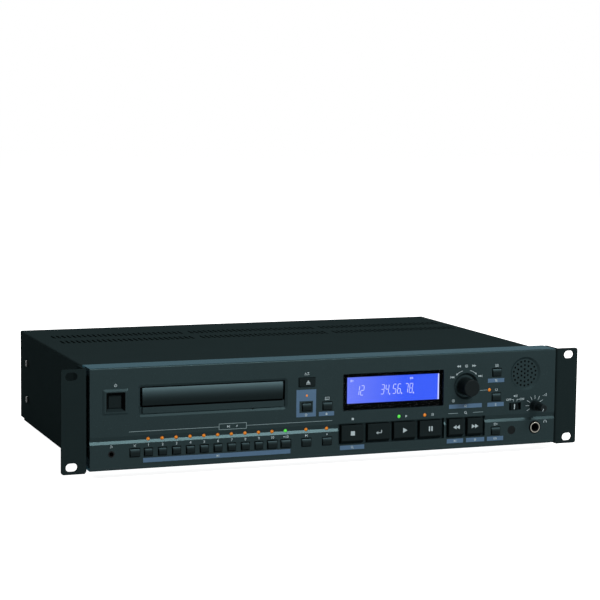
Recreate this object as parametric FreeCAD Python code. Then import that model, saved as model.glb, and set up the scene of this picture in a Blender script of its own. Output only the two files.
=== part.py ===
import FreeCAD, Part
import math
import os

# Rack-mounted disc player, 2 units high. Millimetres.
# X runs to the right as seen from the front, Y to the back, Z up.
# The origin is the centre of the four rack slots, on the rear face of the ears.
# Heights are given above the ears' bottom edge, depths behind the front panel's face.

# Rack ears
EAR_PLATE_WIDTH = 21.8
EAR_HEIGHT = 88.0
SLOT_EDGE_X = 8.75
SLOT_EDGE_Z = 5.9
SLOT_LENGTH = 10.2
SLOT_WIDTH = 7.2
EAR_THICK = 2.5
EAR_SETBACK = 1.9
EAR_CORNER = 2.0
EAR_INNER_BEND = 0.8
EAR_PANEL_GAP = 1.9
EAR_FLANGE_REACH = 34.0
EAR_FLANGE_TRIM = 9.0
EAR_JOG_SLOPE = 5.6

# Front panel, a deep moulded shell open at the back
PANEL_BOTTOM = 1.7
PANEL_HEIGHT = 86.6
PANEL_DEPTH = 24.5
PANEL_WALL = 2.5
PANEL_FACE_WALL = 3.0
PANEL_TOP_ROUND = 1.2
PANEL_END_ROUND = 0.5
GROOVE_HEIGHT = 26.3
GROOVE_DEPTH = 1.4
GROOVE_ABOVE = 3.9
GROOVE_BELOW = 2.4

# Sheet metal case
COVER_INSET = 3.4
COVER_DROP = 2.8
COVER_SHEET = 1.0
COVER_BEND = 1.6
COVER_BOTTOM = 0.0
CASE_DEPTH = 282.0
COVER_TUCK = 10.0
COVER_NOTCH_LENGTH = 14.0
CHASSIS_SHEET = 1.2
CHASSIS_BOTTOM = 1.8
CHASSIS_SIDE_HEIGHT = 64.0
CHASSIS_TOP_LIP = 9.0
SHEET_GAP = 0.2
FLANGE_TAB = 12.0

# Ventilation slots in the cover, rows from back to front
VENT_ROWS = 2
VENT_GROUPS = 3
VENT_COUNT = 26
VENT_PITCH = 5.0
VENT_GROUP_GAP = 6.0
VENT_OFFSET_X = 3.0
VENT_LENGTH = 20.0
VENT_WIDTH = 2.5
VENT_BACK_INSET = 56.0
VENT_ROW_PITCH = 37.5

# Fasteners
SCREW_RADIUS = 1.5
SCREW_HEAD_RADIUS = 3.0
SCREW_HEAD = 1.9
SCREW_LENGTH = 5.0
REAR_SCREW_LENGTH = 2.7
SCREW_CROSS = 0.7
HOLE_EASE = 0.1
SIDE_SCREW_INSET = 32.0
SIDE_SCREW_LOW = 23.1
SIDE_SCREW_SPACING = 34.8

# Feet
FOOT_RADIUS = 12.0
FOOT_HEIGHT = 7.8
FOOT_RECESS_RADIUS = 4.5
FOOT_RECESS = 3.5
FOOT_INSET_X = 45.0
FOOT_FRONT_DEPTH = 62.0
FOOT_BACK_INSET = 40.0

# Gaps between neighbours along the front, from the left edge to the right one
EDGE_POWER_GAP = 10.5
POWER_MOUTH_GAP = 8.0
MOUTH_COLUMN_GAP = 9.85
LEFT_COLUMN_PITCH = 19.2
COLUMN_WINDOW_GAP = 10.3
WINDOW_DISH_GAP = 10.1
DISH_COLUMN_GAP = 13.9
COLUMN_GRILLE_GAP = 9.5
GRILLE_EDGE_GAP = 15.2
COLUMN_BANK_GAP = 6.1

# Small keys
KEY_ROW_HEIGHT = 15.65
UPPER_KEY_HEIGHT = 46.65
NUMBER_KEYS = 9
NUMBER_PITCH = 12.3
NARROW_HOLE = (7.2, 6.3)
WIDE_HOLE = (8.8, 6.7)
EJECT_HOLE = (15.7, 8.3)
CLEAR_GAP_X = 11.9
LEFT_COLUMN_GAP = 19.1
MENU_KEY_HEIGHT = 69.0
EJECT_HEIGHT = 68.65
KEY_GAP = 0.35
KEY_PROUD = 1.3
KEY_EDGE = 0.5
KEY_CORNER = 0.4
KEY_SLOPE = 0.5
KEY_TRAVEL = 0.5
KEY_LIP = 0.8
LIP_THICK = 1.0
REST_GAP = 0.3
PLUNGER_RADIUS = 1.4
STRIP_DEPTH = 0.4
STRIP_MARGIN_X = 1.0
STRIP_MARGIN_Z = 0.7

# Transport keys in their two sunk banks
BANK_BOTTOM = 11.8
BANK_HEIGHT = 18.6
BANK_DEPTH = 3.1
BANK_FLOOR = 2.0
BANK_WALL = 2.0
BANK_MARGIN = 2.9
BANK_DIVIDER = 1.6
BIG_KEY_WIDTH = 21.3
BIG_KEY_PITCH = 25.0
BIG_KEYS = ("stop_key", "call_key", "play_key", "pause_key")
SEARCH_KEY_WIDTH = 14.7
SEARCH_KEY_PITCH = 18.4
SEARCH_KEYS = ("search_back_key", "search_forward_key")
BIG_KEY_RISE = 0.6
BIG_KEY_HEIGHT = 16.2
BIG_KEY_PROUD = 0.9
BIG_KEY_GAP = 0.3
CHIN_HEIGHT = 2.6
CHIN_DEPTH = 3.1

# Power key
POWER_HEIGHT = 59.5
POWER_FRAME = (23.0, 21.7)
POWER_FRAME_PROUD = 1.2
POWER_FRAME_SLOPE = 1.8
POWER_WELL = 16.4
POWER_CAP = 11.0
POWER_CAP_GAP = 0.4
POWER_CAP_DEPTH = 2.0
POWER_TRAVEL = 3.0
POWER_PLUNGER = 6.0

# Lamps
LAMP_RADIUS = 1.6
LAMP_HEIGHT = 26.9
LAMP_PROUD = 0.3
LAMP_EASE = 0.05
SHIFT_LAMP_HEIGHT = 56.7
JOG_LAMP_SHIFT = -6.9
JOG_LAMP_HEIGHT = 53.5
PLAY_LAMP_HEIGHT = 33.9
PLAY_LAMP_SHIFT = -5.6

# Display
WINDOW_HEIGHT = 57.6
WINDOW_SIZE = (96.8, 32.6)
WINDOW_CORNER = 1.5
WINDOW_GAP = 0.15
WINDOW_SINK = 0.3
WINDOW_LIP = 2.0
WINDOW_LIP_THICK = 1.2
MODULE_SIZE = (94.0, 28.0)

# Track knob in its dish
TRACK_HEIGHT = 57.9
DISH_RADIUS = 12.0
DISH_FLOOR_RADIUS = 10.0
DISH_DEPTH = 2.0
TRACK_KNOB_RADIUS = 8.1
TRACK_KNOB_TIP_RADIUS = 7.6
TRACK_KNOB_PROUD = 12.4
TRACK_KNOB_EDGE = 1.0
TRACK_SLIDER_RADIUS = 3.0
TRACK_STEM_RADIUS = 1.6
SHAFT_EASE = 0.08
TRACK_TRAVEL = 0.5

# Level knob
LEVEL_SHIFT = 10.3
LEVEL_HEIGHT = 37.2
LEVEL_SKIRT_RADIUS = 4.8
LEVEL_SKIRT_LENGTH = 7.0
LEVEL_GRIP_RADIUS = 3.3
LEVEL_PROUD = 17.5
LEVEL_GAP = 0.6
LEVEL_SHAFT_RADIUS = 2.9
LEVEL_REST_ANGLE = 150.0
POINTER_WIDTH = 0.7
KNOB_RIBS = 18

# Speaker, its switch and the sockets on the front
SPEAKER_HEIGHT = 66.8
GRILLE_RADIUS = 15.2
GRILLE_FLOOR_RADIUS = 13.3
GRILLE_DEPTH = 1.6
GRILLE_HOLE_RADIUS = 0.93
GRILLE_RING_PITCH = 3.72
GRILLE_RINGS = 3
SPEAKER_RADIUS = 14.0
SPEAKER_DEPTH = 11.0
SWITCH_SHIFT = -9.85
SWITCH_HEIGHT = 37.25
SWITCH_HOLE = (11.9, 6.7)
LEVER_SIZE = (7.1, 5.9)
LEVER_TRAVEL = 2.4
LEVER_PROUD = 1.2
PHONES_SHIFT = 10.7
PHONES_HEIGHT = 17.0
PHONES_BORE = 3.2
PHONES_RING_RADIUS = 5.05
PHONES_HOLE_RADIUS = 5.9
PHONES_BORE_LENGTH = 16.0
PHONES_BODY = (15.0, 14.0)
REMOTE_GAP = 20.2
REMOTE_HEIGHT = 15.6
REMOTE_BORE = 1.8
REMOTE_RING_RADIUS = 2.6
REMOTE_BORE_LENGTH = 12.0
REMOTE_BODY = 8.0
SENSOR_SHIFT = 16.1
SENSOR_RADIUS = 3.8

# Front circuit board
BOARD_DEPTH = 12.0
BOARD_SHEET = 1.6
BOARD_MARGIN = 5.0
SWITCH_CELL = 6.0
SWITCH_CELL_DEPTH = 3.4
SWITCH_CELL_PIN = 0.9
CONTROL_BODY = 12.0
CONTROL_BODY_DEPTH = 6.0

# Tray and its mouth in the panel
DOOR_LAP = 0.4
DOOR_BOTTOM = 55.1
DOOR_HEIGHT = 14.9
DOOR_SINK = 0.8
DOOR_THICK = 3.0
DOOR_CROWN = 0.45
MOUTH_GAP_X = 2.0
MOUTH_GAP_TOP = 0.9
MOUTH_GAP_BOTTOM = 1.2
MOUTH_BEVEL = 2.0
MOUTH_BEVEL_DEPTH = 1.4
MOUTH_CORNER = 1.0
SILL_BOTTOM = 48.5
SILL_HEIGHT = 5.2
SILL_SINK = 0.5
SILL_GROOVE = 0.8
SILL_GROOVE_DEPTH = 2.2
RELEASE_HOLE_RADIUS = 0.8
RELEASE_HOLE_SHIFT = 35.1
TRAY_RIM = 1.9
TRAY_RISE = 8.4
TRAY_PLATE = 5.0
TRAY_SKIRT = 2.0
TRAY_SKIRT_WIDTH = 3.0
TRAY_LENGTH = 180.0
DISC_CENTRE_DEPTH = 76.0
DISC_WELL_RADIUS = 60.4
DISC_WELL = 2.0
SMALL_WELL_RADIUS = 40.5
SMALL_WELL = 3.2
TRAY_SLOT_WIDTH = 38.0
TRAY_SLOT_FRONT = 20.0
TRAY_SLOT_BACK = 68.0
FINGER_RADIUS = 14.0

# Tray drive: rack under the tray and its gear
TOOTH_MODULE = 1.2
GEAR_TEETH = 16
GEAR_DEPTH = 32.0
RACK_INSET = 5.3
RACK_WEB = 3.5
TOOTH_SHARE = 0.40
GEAR_THICK = 1.6
GEAR_PIN_RADIUS = 1.5
GEAR_HUB_RADIUS = 5.5
GEAR_HUB = 6.0
RUNNING_EASE = 0.05

# Disc drive
DRIVE_SIDE = 10.7
DRIVE_DROP = 25.5
DRIVE_RISE = 15.5
DRIVE_FRONT_DEPTH = 28.0
DRIVE_LENGTH = 188.0
DRIVE_SHEET = 1.2
RAIL_HEIGHT = 2.2
RAIL_GAP = 0.3
RAIL_LAP = 3.1
DRIVE_LEG_RADIUS = 4.0
DRIVE_LEG_INSET = 14.0
BRIDGE_RISE = 6.5
BRIDGE_LENGTH = 44.0
CLAMP_HOLE_RADIUS = 12.0
CLAMP_RADIUS = 15.0
CLAMP_RISE = 2.7

# Lifting frame that carries the turntable and the pickup
LIFT_TRAVEL = 8.0
LIFT_FRAME_WIDTH = 56.0
LIFT_FRAME_FRONT = 22.0
LIFT_FRAME_BACK = 84.0
LIFT_FRAME_DROP = 19.0
LIFT_FRAME_SHEET = 1.6
LIFT_PIN_RADIUS = 2.0
TURNTABLE_RADIUS = 15.0
TURNTABLE_DROP = 7.8
TURNTABLE_THICK = 1.8
HUB_RADIUS = 7.4
HUB_HEIGHT = 2.3
ROTOR_RADIUS = 13.0
SPINDLE_RADIUS = 1.2
SLED_START = 26.0
SLED_TRAVEL = 34.0
SLED_SIZE = (42.0, 22.0)
SLED_THICK = 3.4
ROD_RADIUS = 1.5
ROD_SPACING = 34.0
LENS_RADIUS = 3.0
LENS_BLOCK = 14.0
LENS_DROP = 9.5

# Boards and power supply inside the case
STANDOFF_HEIGHT = 6.0
STANDOFF_RADIUS = 3.0
MAIN_BOARD = (80.0, 180.0)
DRIVE_BOARD_GAP = 8.4
BOARDS_GAP = 15.0
SUPPLY_BOARD = (130.0, 110.0)
BOARD_BACK_GAP = 20.0
STANDOFF_INSET = 6.0
CHIP = 24.0
CHIP_THICK = 2.2
CHIP_COUNT = 3
CHIP_PITCH = 48.0
CHIP_FIRST = 30.0
CAN_SHIFT = 26.0
CAN_RADIUS = 5.0
CAN_HEIGHT = 14.0
CAN_LEAD = 8.0
SMALL_CAN_RADIUS = 4.0
SMALL_CAN_HEIGHT = 11.0
SMALL_CAN_LEAD = 12.0
TRANSFORMER = (36.0, 34.0, 28.0)
TRANSFORMER_LEAD = 36.0
HEATSINK = (4.0, 60.0, 30.0)
HEATSINK_SHIFT = 46.0
HEATSINK_LEAD = 14.0
SUPPLY_CAN_RADIUS = 9.0
SUPPLY_CAN_HEIGHT = 32.0
SUPPLY_CAN_PITCH = 26.0
SUPPLY_CAN_SHIFT = 34.0
SUPPLY_CAN_LEAD = 20.0

# Rear connectors
XLR_SPACING = 34.0
XLR_EDGE = 54.2
XLR_HEIGHT = 46.0
XLR_FLANGE = (26.0, 31.0)
XLR_RADIUS = 11.0
XLR_CAVITY_RADIUS = 8.0
XLR_CAVITY = 14.0
XLR_BODY = 20.0
XLR_PROUD = 3.0
XLR_PIN_RADIUS = 1.2
XLR_PIN_CIRCLE = 4.0
REAR_FLANGE = 1.5
PHONO_SHIFT = 90.0
PHONO_HEIGHT = 34.0
PHONO_SPACING = 16.0
PHONO_SLEEVE_RADIUS = 4.15
PHONO_BORE = 1.75
PHONO_PROUD = 9.5
PHONO_PLATE = (15.0, 32.0)
DATA_X = 0.0
DATA_HEIGHT = 42.0
DATA_SHELL = (39.2, 8.4)
DATA_FLANGE = (53.0, 12.5)
DATA_PROUD = 6.0
DATA_HOLES = 13
DATA_HOLE_PITCH = 2.77
INLET_EDGE = 36.2
INLET_HEIGHT = 40.0
INLET_FLANGE = (50.0, 23.0)
INLET_CAVITY = (24.0, 16.0)
INLET_WALL = 1.6
INLET_CAVITY_DEPTH = 15.0
INLET_BLADE = (2.0, 5.0)
INLET_BLADE_SPACING = 7.0

# Places worked out from the sizes above
TRAY_WIDTH = 2 * (DISC_WELL_RADIUS + TRAY_RIM)
DOOR_WIDTH = TRAY_WIDTH + 2 * DOOR_LAP
MOUTH_HALF = DOOR_WIDTH / 2 + MOUTH_GAP_X
MOUTH_RIM_HALF = MOUTH_HALF + MOUTH_BEVEL
KEY_HALF = WIDE_HOLE[0] / 2
EDGE_TO_COLUMN = (EDGE_POWER_GAP + POWER_FRAME[0] + POWER_MOUTH_GAP + 2 * MOUTH_RIM_HALF
                  + MOUTH_COLUMN_GAP + EJECT_HOLE[0] / 2)
COLUMN_TO_DISH = (LEFT_COLUMN_PITCH + KEY_HALF + COLUMN_WINDOW_GAP + WINDOW_SIZE[0]
                  + WINDOW_DISH_GAP + DISH_RADIUS)
DISH_TO_EDGE = (DISH_RADIUS + DISH_COLUMN_GAP + 2 * KEY_HALF + COLUMN_GRILLE_GAP
                + 2 * GRILLE_RADIUS + GRILLE_EDGE_GAP)
PANEL_HALF = (EDGE_TO_COLUMN + COLUMN_TO_DISH + DISH_TO_EDGE) / 2
PANEL_WIDTH = 2 * PANEL_HALF
PANEL_TOP = PANEL_BOTTOM + PANEL_HEIGHT
POWER_X = -PANEL_HALF + EDGE_POWER_GAP + POWER_FRAME[0] / 2
TRAY_X = POWER_X + POWER_FRAME[0] / 2 + POWER_MOUTH_GAP + MOUTH_RIM_HALF
LEFT_COLUMN_X = -PANEL_HALF + EDGE_TO_COLUMN
SECOND_COLUMN_X = LEFT_COLUMN_X + LEFT_COLUMN_PITCH
NUMBER_X = LEFT_COLUMN_X - LEFT_COLUMN_GAP - (NUMBER_KEYS + 1) * NUMBER_PITCH
CLEAR_X = NUMBER_X - CLEAR_GAP_X
REMOTE_X = CLEAR_X - REMOTE_GAP
WINDOW_X = SECOND_COLUMN_X + KEY_HALF + COLUMN_WINDOW_GAP + WINDOW_SIZE[0] / 2
TRACK_X = LEFT_COLUMN_X + COLUMN_TO_DISH
RIGHT_COLUMN_X = TRACK_X + DISH_RADIUS + DISH_COLUMN_GAP + KEY_HALF
SPEAKER_X = PANEL_HALF - GRILLE_EDGE_GAP - GRILLE_RADIUS
JOG_LAMP_X = RIGHT_COLUMN_X + JOG_LAMP_SHIFT
LEVEL_X = SPEAKER_X + LEVEL_SHIFT
SWITCH_X = SPEAKER_X + SWITCH_SHIFT
PHONES_X = SPEAKER_X + PHONES_SHIFT
SENSOR_X = RIGHT_COLUMN_X + SENSOR_SHIFT
BANK_LEFT_X = SECOND_COLUMN_X + KEY_HALF + COLUMN_BANK_GAP
BANK_ONE_WIDTH = (len(BIG_KEYS) - 1) * BIG_KEY_PITCH + BIG_KEY_WIDTH + 2 * BANK_MARGIN
BANK_TWO_X = BANK_LEFT_X + BANK_ONE_WIDTH + BANK_DIVIDER
BANK_TWO_WIDTH = (len(SEARCH_KEYS) - 1) * SEARCH_KEY_PITCH + SEARCH_KEY_WIDTH + 2 * BANK_MARGIN
BIG_KEY_BOTTOM = BANK_BOTTOM + BIG_KEY_RISE
EAR_FLANGE_X = PANEL_HALF + EAR_PANEL_GAP
RACK_WIDTH = 2 * (EAR_FLANGE_X + EAR_PLATE_WIDTH)
SLOT_SPACING_X = RACK_WIDTH - 2 * SLOT_EDGE_X
SLOT_SPACING_Z = EAR_HEIGHT - 2 * SLOT_EDGE_Z
BASE_Z = -EAR_HEIGHT / 2
FACE_Y = -(EAR_THICK + EAR_SETBACK)
COVER_HALF = PANEL_HALF - COVER_INSET
COVER_TOP = PANEL_TOP - COVER_DROP
CHASSIS_HALF = COVER_HALF - COVER_SHEET - SHEET_GAP
CHASSIS_FLOOR = CHASSIS_BOTTOM + CHASSIS_SHEET
FRONT_WALL_DEPTH = PANEL_DEPTH
REAR_PANEL_DEPTH = CASE_DEPTH - CHASSIS_SHEET
SIDE_SCREW_DEPTH = CASE_DEPTH - SIDE_SCREW_INSET
VENT_GROUP_PITCH = VENT_COUNT * VENT_PITCH + VENT_GROUP_GAP
PLUNGER_END = BOARD_DEPTH - SWITCH_CELL_DEPTH - SWITCH_CELL_PIN - KEY_TRAVEL - KEY_GAP / 2
MOUTH_TOP = DOOR_BOTTOM + DOOR_HEIGHT + MOUTH_GAP_TOP
MOUTH_BOTTOM = DOOR_BOTTOM - MOUTH_GAP_BOTTOM
TRAY_TOP = DOOR_BOTTOM + TRAY_RISE
TRAY_UNDER = TRAY_TOP - TRAY_PLATE
TRAY_SKIRT_END = TRAY_UNDER - TRAY_SKIRT
TRAY_FRONT_DEPTH = DOOR_SINK + DOOR_THICK
DRIVE_HALF = TRAY_WIDTH / 2 + DRIVE_SIDE
DRIVE_BOTTOM = TRAY_TOP - DRIVE_DROP
DRIVE_TOP = TRAY_TOP + DRIVE_RISE
BRIDGE_HEIGHT = TRAY_TOP + BRIDGE_RISE
CLAMP_BOTTOM = TRAY_TOP + CLAMP_RISE
LIFT_FRAME_BOTTOM = TRAY_TOP - LIFT_FRAME_DROP
TURNTABLE_SEAT = TRAY_TOP - TURNTABLE_DROP
LENS_TOP = TRAY_TOP - LENS_DROP
RAIL_REACH = DRIVE_SIDE + RAIL_LAP
PITCH_RADIUS = TOOTH_MODULE * GEAR_TEETH / 2
RACK_BACK_X = RACK_INSET - TRAY_WIDTH / 2
RACK_PITCH_X = RACK_BACK_X + RACK_WEB + 1.25 * TOOTH_MODULE
GEAR_X = TRAY_X + RACK_PITCH_X + PITCH_RADIUS
MAIN_BOARD_X = TRAY_X + DRIVE_HALF + DRIVE_BOARD_GAP + MAIN_BOARD[0] / 2
SUPPLY_X = MAIN_BOARD_X + MAIN_BOARD[0] / 2 + BOARDS_GAP + SUPPLY_BOARD[0] / 2
BOARD_BACK_DEPTH = CASE_DEPTH - BOARD_BACK_GAP
XLR_X = XLR_EDGE - COVER_HALF
PHONO_X = XLR_X + PHONO_SHIFT
INLET_X = COVER_HALF - INLET_EDGE


def up(height):
    return BASE_Z + height


def back(depth):
    return FACE_Y + depth


def block(x0, x1, depth0, depth1, height0, height1):
    corner = FreeCAD.Vector(x0, back(depth0), up(height0))
    return Part.makeBox(x1 - x0, depth1 - depth0, height1 - height0, corner)


def centred_block(x, height, size, depth0, depth1):
    half_w = size[0] / 2
    half_h = size[1] / 2
    return block(x - half_w, x + half_w, depth0, depth1, height - half_h, height + half_h)


def rod_y(x, height, radius, depth0, depth1):
    start = FreeCAD.Vector(x, back(depth0), up(height))
    return Part.makeCylinder(radius, depth1 - depth0, start, FreeCAD.Vector(0, 1, 0))


def cone_y(x, height, radius0, radius1, depth0, depth1):
    start = FreeCAD.Vector(x, back(depth0), up(height))
    return Part.makeCone(radius0, radius1, depth1 - depth0, start, FreeCAD.Vector(0, 1, 0))


def rod_z(x, depth, radius, height0, height1):
    start = FreeCAD.Vector(x, back(depth), up(height0))
    return Part.makeCylinder(radius, height1 - height0, start, FreeCAD.Vector(0, 0, 1))


def cone_z(x, depth, radius0, radius1, height0, height1):
    start = FreeCAD.Vector(x, back(depth), up(height0))
    return Part.makeCone(radius0, radius1, height1 - height0, start, FreeCAD.Vector(0, 0, 1))


def rod_x(x0, x1, depth, height, radius):
    start = FreeCAD.Vector(x0, back(depth), up(height))
    return Part.makeCylinder(radius, x1 - x0, start, FreeCAD.Vector(1, 0, 0))


def extruded(points, direction):
    return Part.Face(Part.makePolygon(points + [points[0]])).extrude(direction)


def round_rectangle(x, height, size, corner, depth):
    """Closed wire of a rectangle with round corners, in the plane at one depth."""
    half_w = size[0] / 2
    half_h = size[1] / 2
    y = back(depth)
    edges = []
    corners = ((1, 1), (-1, 1), (-1, -1), (1, -1))
    for turn, (sx, sz) in enumerate(corners):
        cx = x + sx * (half_w - corner)
        cz = up(height) + sz * (half_h - corner)
        arc_points = []
        for part in (0, 0.5, 1):
            angle = math.pi / 2 * (turn + part)
            arc_points.append(FreeCAD.Vector(cx + corner * math.cos(angle), y, cz + corner * math.sin(angle)))
        if edges:
            edges.append(Part.LineSegment(last, arc_points[0]).toShape())
        else:
            first = arc_points[0]
        edges.append(Part.Arc(*arc_points).toShape())
        last = arc_points[2]
    edges.append(Part.LineSegment(last, first).toShape())
    return Part.Wire(edges)


def round_block(x, height, size, corner, depth0, depth1):
    wire = round_rectangle(x, height, size, corner, depth0)
    return Part.Face(wire).extrude(FreeCAD.Vector(0, depth1 - depth0, 0))


def tapered_block(x, height, size0, size1, corner0, corner1, depth0, depth1):
    wires = [
        round_rectangle(x, height, size0, corner0, depth0),
        round_rectangle(x, height, size1, corner1, depth1),
    ]
    return Part.makeLoft(wires, True, True)


def turned_y(points, x, height):
    """Solid turned about a front-to-back line; points are (radius, depth)."""
    ring = [FreeCAD.Vector(x + radius, back(depth), up(height)) for radius, depth in points]
    face = Part.Face(Part.makePolygon(ring + [ring[0]]))
    return face.revolve(FreeCAD.Vector(x, 0, up(height)), FreeCAD.Vector(0, 1, 0), 360)


def fused(shapes):
    return shapes[0].fuse(shapes[1:]).removeSplitter()


def mirrored_x(shape):
    return shape.mirror(FreeCAD.Vector(0, 0, 0), FreeCAD.Vector(1, 0, 0))


def small_keys():
    """Name, place and hole of each small key."""
    keys = []
    for index in range(NUMBER_KEYS):
        keys.append((f"number_key_{index + 1}", NUMBER_X + index * NUMBER_PITCH, KEY_ROW_HEIGHT, NARROW_HOLE))
    ten_x = NUMBER_X + NUMBER_KEYS * NUMBER_PITCH
    keys.append(("number_key_10", ten_x, KEY_ROW_HEIGHT, WIDE_HOLE))
    keys.append(("number_key_over_10", ten_x + NUMBER_PITCH, KEY_ROW_HEIGHT, WIDE_HOLE))
    keys.append(("clear_key", CLEAR_X, KEY_ROW_HEIGHT, WIDE_HOLE))
    keys.append(("cue_key", LEFT_COLUMN_X, KEY_ROW_HEIGHT, WIDE_HOLE))
    keys.append(("flash_key", SECOND_COLUMN_X, KEY_ROW_HEIGHT, WIDE_HOLE))
    keys.append(("shift_key", LEFT_COLUMN_X, UPPER_KEY_HEIGHT, WIDE_HOLE))
    keys.append(("display_key", SECOND_COLUMN_X, UPPER_KEY_HEIGHT, WIDE_HOLE))
    keys.append(("open_close_key", LEFT_COLUMN_X, EJECT_HEIGHT, EJECT_HOLE))
    keys.append(("menu_key", RIGHT_COLUMN_X, MENU_KEY_HEIGHT, WIDE_HOLE))
    keys.append(("jog_key", RIGHT_COLUMN_X, UPPER_KEY_HEIGHT, WIDE_HOLE))
    keys.append(("play_mode_key", RIGHT_COLUMN_X, KEY_ROW_HEIGHT, WIDE_HOLE))
    return keys


def big_keys():
    """Name, centre and width of each transport key."""
    keys = []
    first = BANK_LEFT_X + BANK_MARGIN + BIG_KEY_WIDTH / 2
    for index, name in enumerate(BIG_KEYS):
        keys.append((name, first + index * BIG_KEY_PITCH, BIG_KEY_WIDTH))
    first = BANK_TWO_X + BANK_MARGIN + SEARCH_KEY_WIDTH / 2
    for index, name in enumerate(SEARCH_KEYS):
        keys.append((name, first + index * SEARCH_KEY_PITCH, SEARCH_KEY_WIDTH))
    return keys


def lamp_places():
    """Places of the amber lamps and of the green lamps."""
    row = [(NUMBER_X + index * NUMBER_PITCH, LAMP_HEIGHT) for index in range(NUMBER_KEYS + 2)]
    keys = {name: x for name, x, width in big_keys()}
    amber = row[:-1]
    amber.append((LEFT_COLUMN_X, LAMP_HEIGHT))
    amber.append((SECOND_COLUMN_X, LAMP_HEIGHT))
    amber.append((LEFT_COLUMN_X, SHIFT_LAMP_HEIGHT))
    amber.append((keys["pause_key"] + PLAY_LAMP_SHIFT, PLAY_LAMP_HEIGHT))
    amber.append((JOG_LAMP_X, JOG_LAMP_HEIGHT))
    green = [row[-1], (keys["play_key"] + PLAY_LAMP_SHIFT, PLAY_LAMP_HEIGHT)]
    return amber, green


def side_screws():
    """Places of the screws in the right side of the case: outer face, depth and height."""
    heights = (SIDE_SCREW_LOW, SIDE_SCREW_LOW + SIDE_SCREW_SPACING)
    flange_depth = PANEL_DEPTH + EAR_FLANGE_REACH * 0.65
    places = [(COVER_HALF, SIDE_SCREW_DEPTH, height) for height in heights]
    places += [(COVER_HALF + EAR_THICK, flange_depth, height) for height in heights]
    return places


def foot_places():
    x = COVER_HALF - FOOT_INSET_X
    depths = (FOOT_FRONT_DEPTH, CASE_DEPTH - FOOT_BACK_INSET)
    return [(side * x, depth) for side in (-1, 1) for depth in depths]


def rear_screws():
    x = CHASSIS_HALF - CHASSIS_SHEET - FLANGE_TAB / 2
    heights = (SIDE_SCREW_LOW, SIDE_SCREW_LOW + SIDE_SCREW_SPACING)
    return [(side * x, height) for side in (-1, 1) for height in heights]


def panel_shell():
    """The panel's bar with its groove, hollowed from the back."""
    top = up(PANEL_TOP)
    bottom = up(PANEL_BOTTOM)
    y0 = back(0)
    y1 = back(PANEL_DEPTH)
    x = -PANEL_HALF
    bevel = PANEL_TOP_ROUND

    def at(depth, z):
        return FreeCAD.Vector(x, y0 + depth, z)

    arc_share = 1 - math.sqrt(0.5)
    outline = [
        Part.LineSegment(at(PANEL_DEPTH, bottom), at(PANEL_DEPTH, top)),
        Part.LineSegment(at(PANEL_DEPTH, top), at(bevel, top)),
        Part.Arc(at(bevel, top), at(bevel * arc_share, top - bevel * arc_share), at(0, top - bevel)),
        Part.LineSegment(at(0, top - bevel), at(0, up(GROOVE_HEIGHT + GROOVE_ABOVE))),
        Part.LineSegment(at(0, up(GROOVE_HEIGHT + GROOVE_ABOVE)), at(GROOVE_DEPTH, up(GROOVE_HEIGHT))),
        Part.LineSegment(at(GROOVE_DEPTH, up(GROOVE_HEIGHT)), at(0, up(GROOVE_HEIGHT - GROOVE_BELOW))),
        Part.LineSegment(at(0, up(GROOVE_HEIGHT - GROOVE_BELOW)), at(0, bottom + bevel)),
        Part.Arc(at(0, bottom + bevel), at(bevel * arc_share, bottom + bevel * arc_share), at(bevel, bottom)),
        Part.LineSegment(at(bevel, bottom), at(PANEL_DEPTH, bottom)),
    ]
    wire = Part.Wire([segment.toShape() for segment in outline])
    bar = Part.Face(wire).extrude(FreeCAD.Vector(PANEL_WIDTH, 0, 0))
    inner = PANEL_HALF - PANEL_WALL
    cavity = block(-inner, inner, PANEL_FACE_WALL, PANEL_DEPTH + 1,
                   PANEL_BOTTOM + PANEL_WALL, PANEL_TOP - PANEL_WALL)
    return bar.cut(cavity)


def bank_block(x, width):
    """Walls and floor of one sunk bank, behind the panel's face."""
    return block(x - BANK_WALL, x + width + BANK_WALL, PANEL_FACE_WALL - 0.5, BANK_DEPTH + BANK_FLOOR,
                 BANK_BOTTOM - BANK_WALL, BANK_BOTTOM + BANK_HEIGHT + BANK_WALL)


def bank_cutters():
    centre_height = BANK_BOTTOM + BANK_HEIGHT / 2
    cutters = []
    for x, width in ((BANK_LEFT_X, BANK_ONE_WIDTH), (BANK_TWO_X, BANK_TWO_WIDTH)):
        size = (width, BANK_HEIGHT)
        cutters.append(round_block(x + width / 2, centre_height, size, 0.8, -1, BANK_DEPTH))
    for name, x, width in big_keys():
        half = width / 2 + BIG_KEY_GAP
        low = BIG_KEY_BOTTOM - BIG_KEY_GAP
        high = BIG_KEY_BOTTOM + BIG_KEY_HEIGHT + BIG_KEY_GAP
        cutters.append(block(x - half, x + half, BANK_DEPTH - 0.5, BANK_DEPTH + BANK_FLOOR + 1, low, high))
    return cutters


def grille_cutters():
    cutters = [cone_y(SPEAKER_X, SPEAKER_HEIGHT, GRILLE_RADIUS, GRILLE_FLOOR_RADIUS, 0, GRILLE_DEPTH)]
    places = [(0, 0)]
    for ring in range(1, GRILLE_RINGS + 1):
        for step in range(6 * ring):
            angle = math.pi / 2 + 2 * math.pi * step / (6 * ring)
            radius = GRILLE_RING_PITCH * ring
            places.append((radius * math.cos(angle), radius * math.sin(angle)))
    for dx, dz in places:
        hole = rod_y(SPEAKER_X + dx, SPEAKER_HEIGHT + dz, GRILLE_HOLE_RADIUS, 0, PANEL_FACE_WALL + 1)
        cutters.append(hole)
    return cutters


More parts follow.
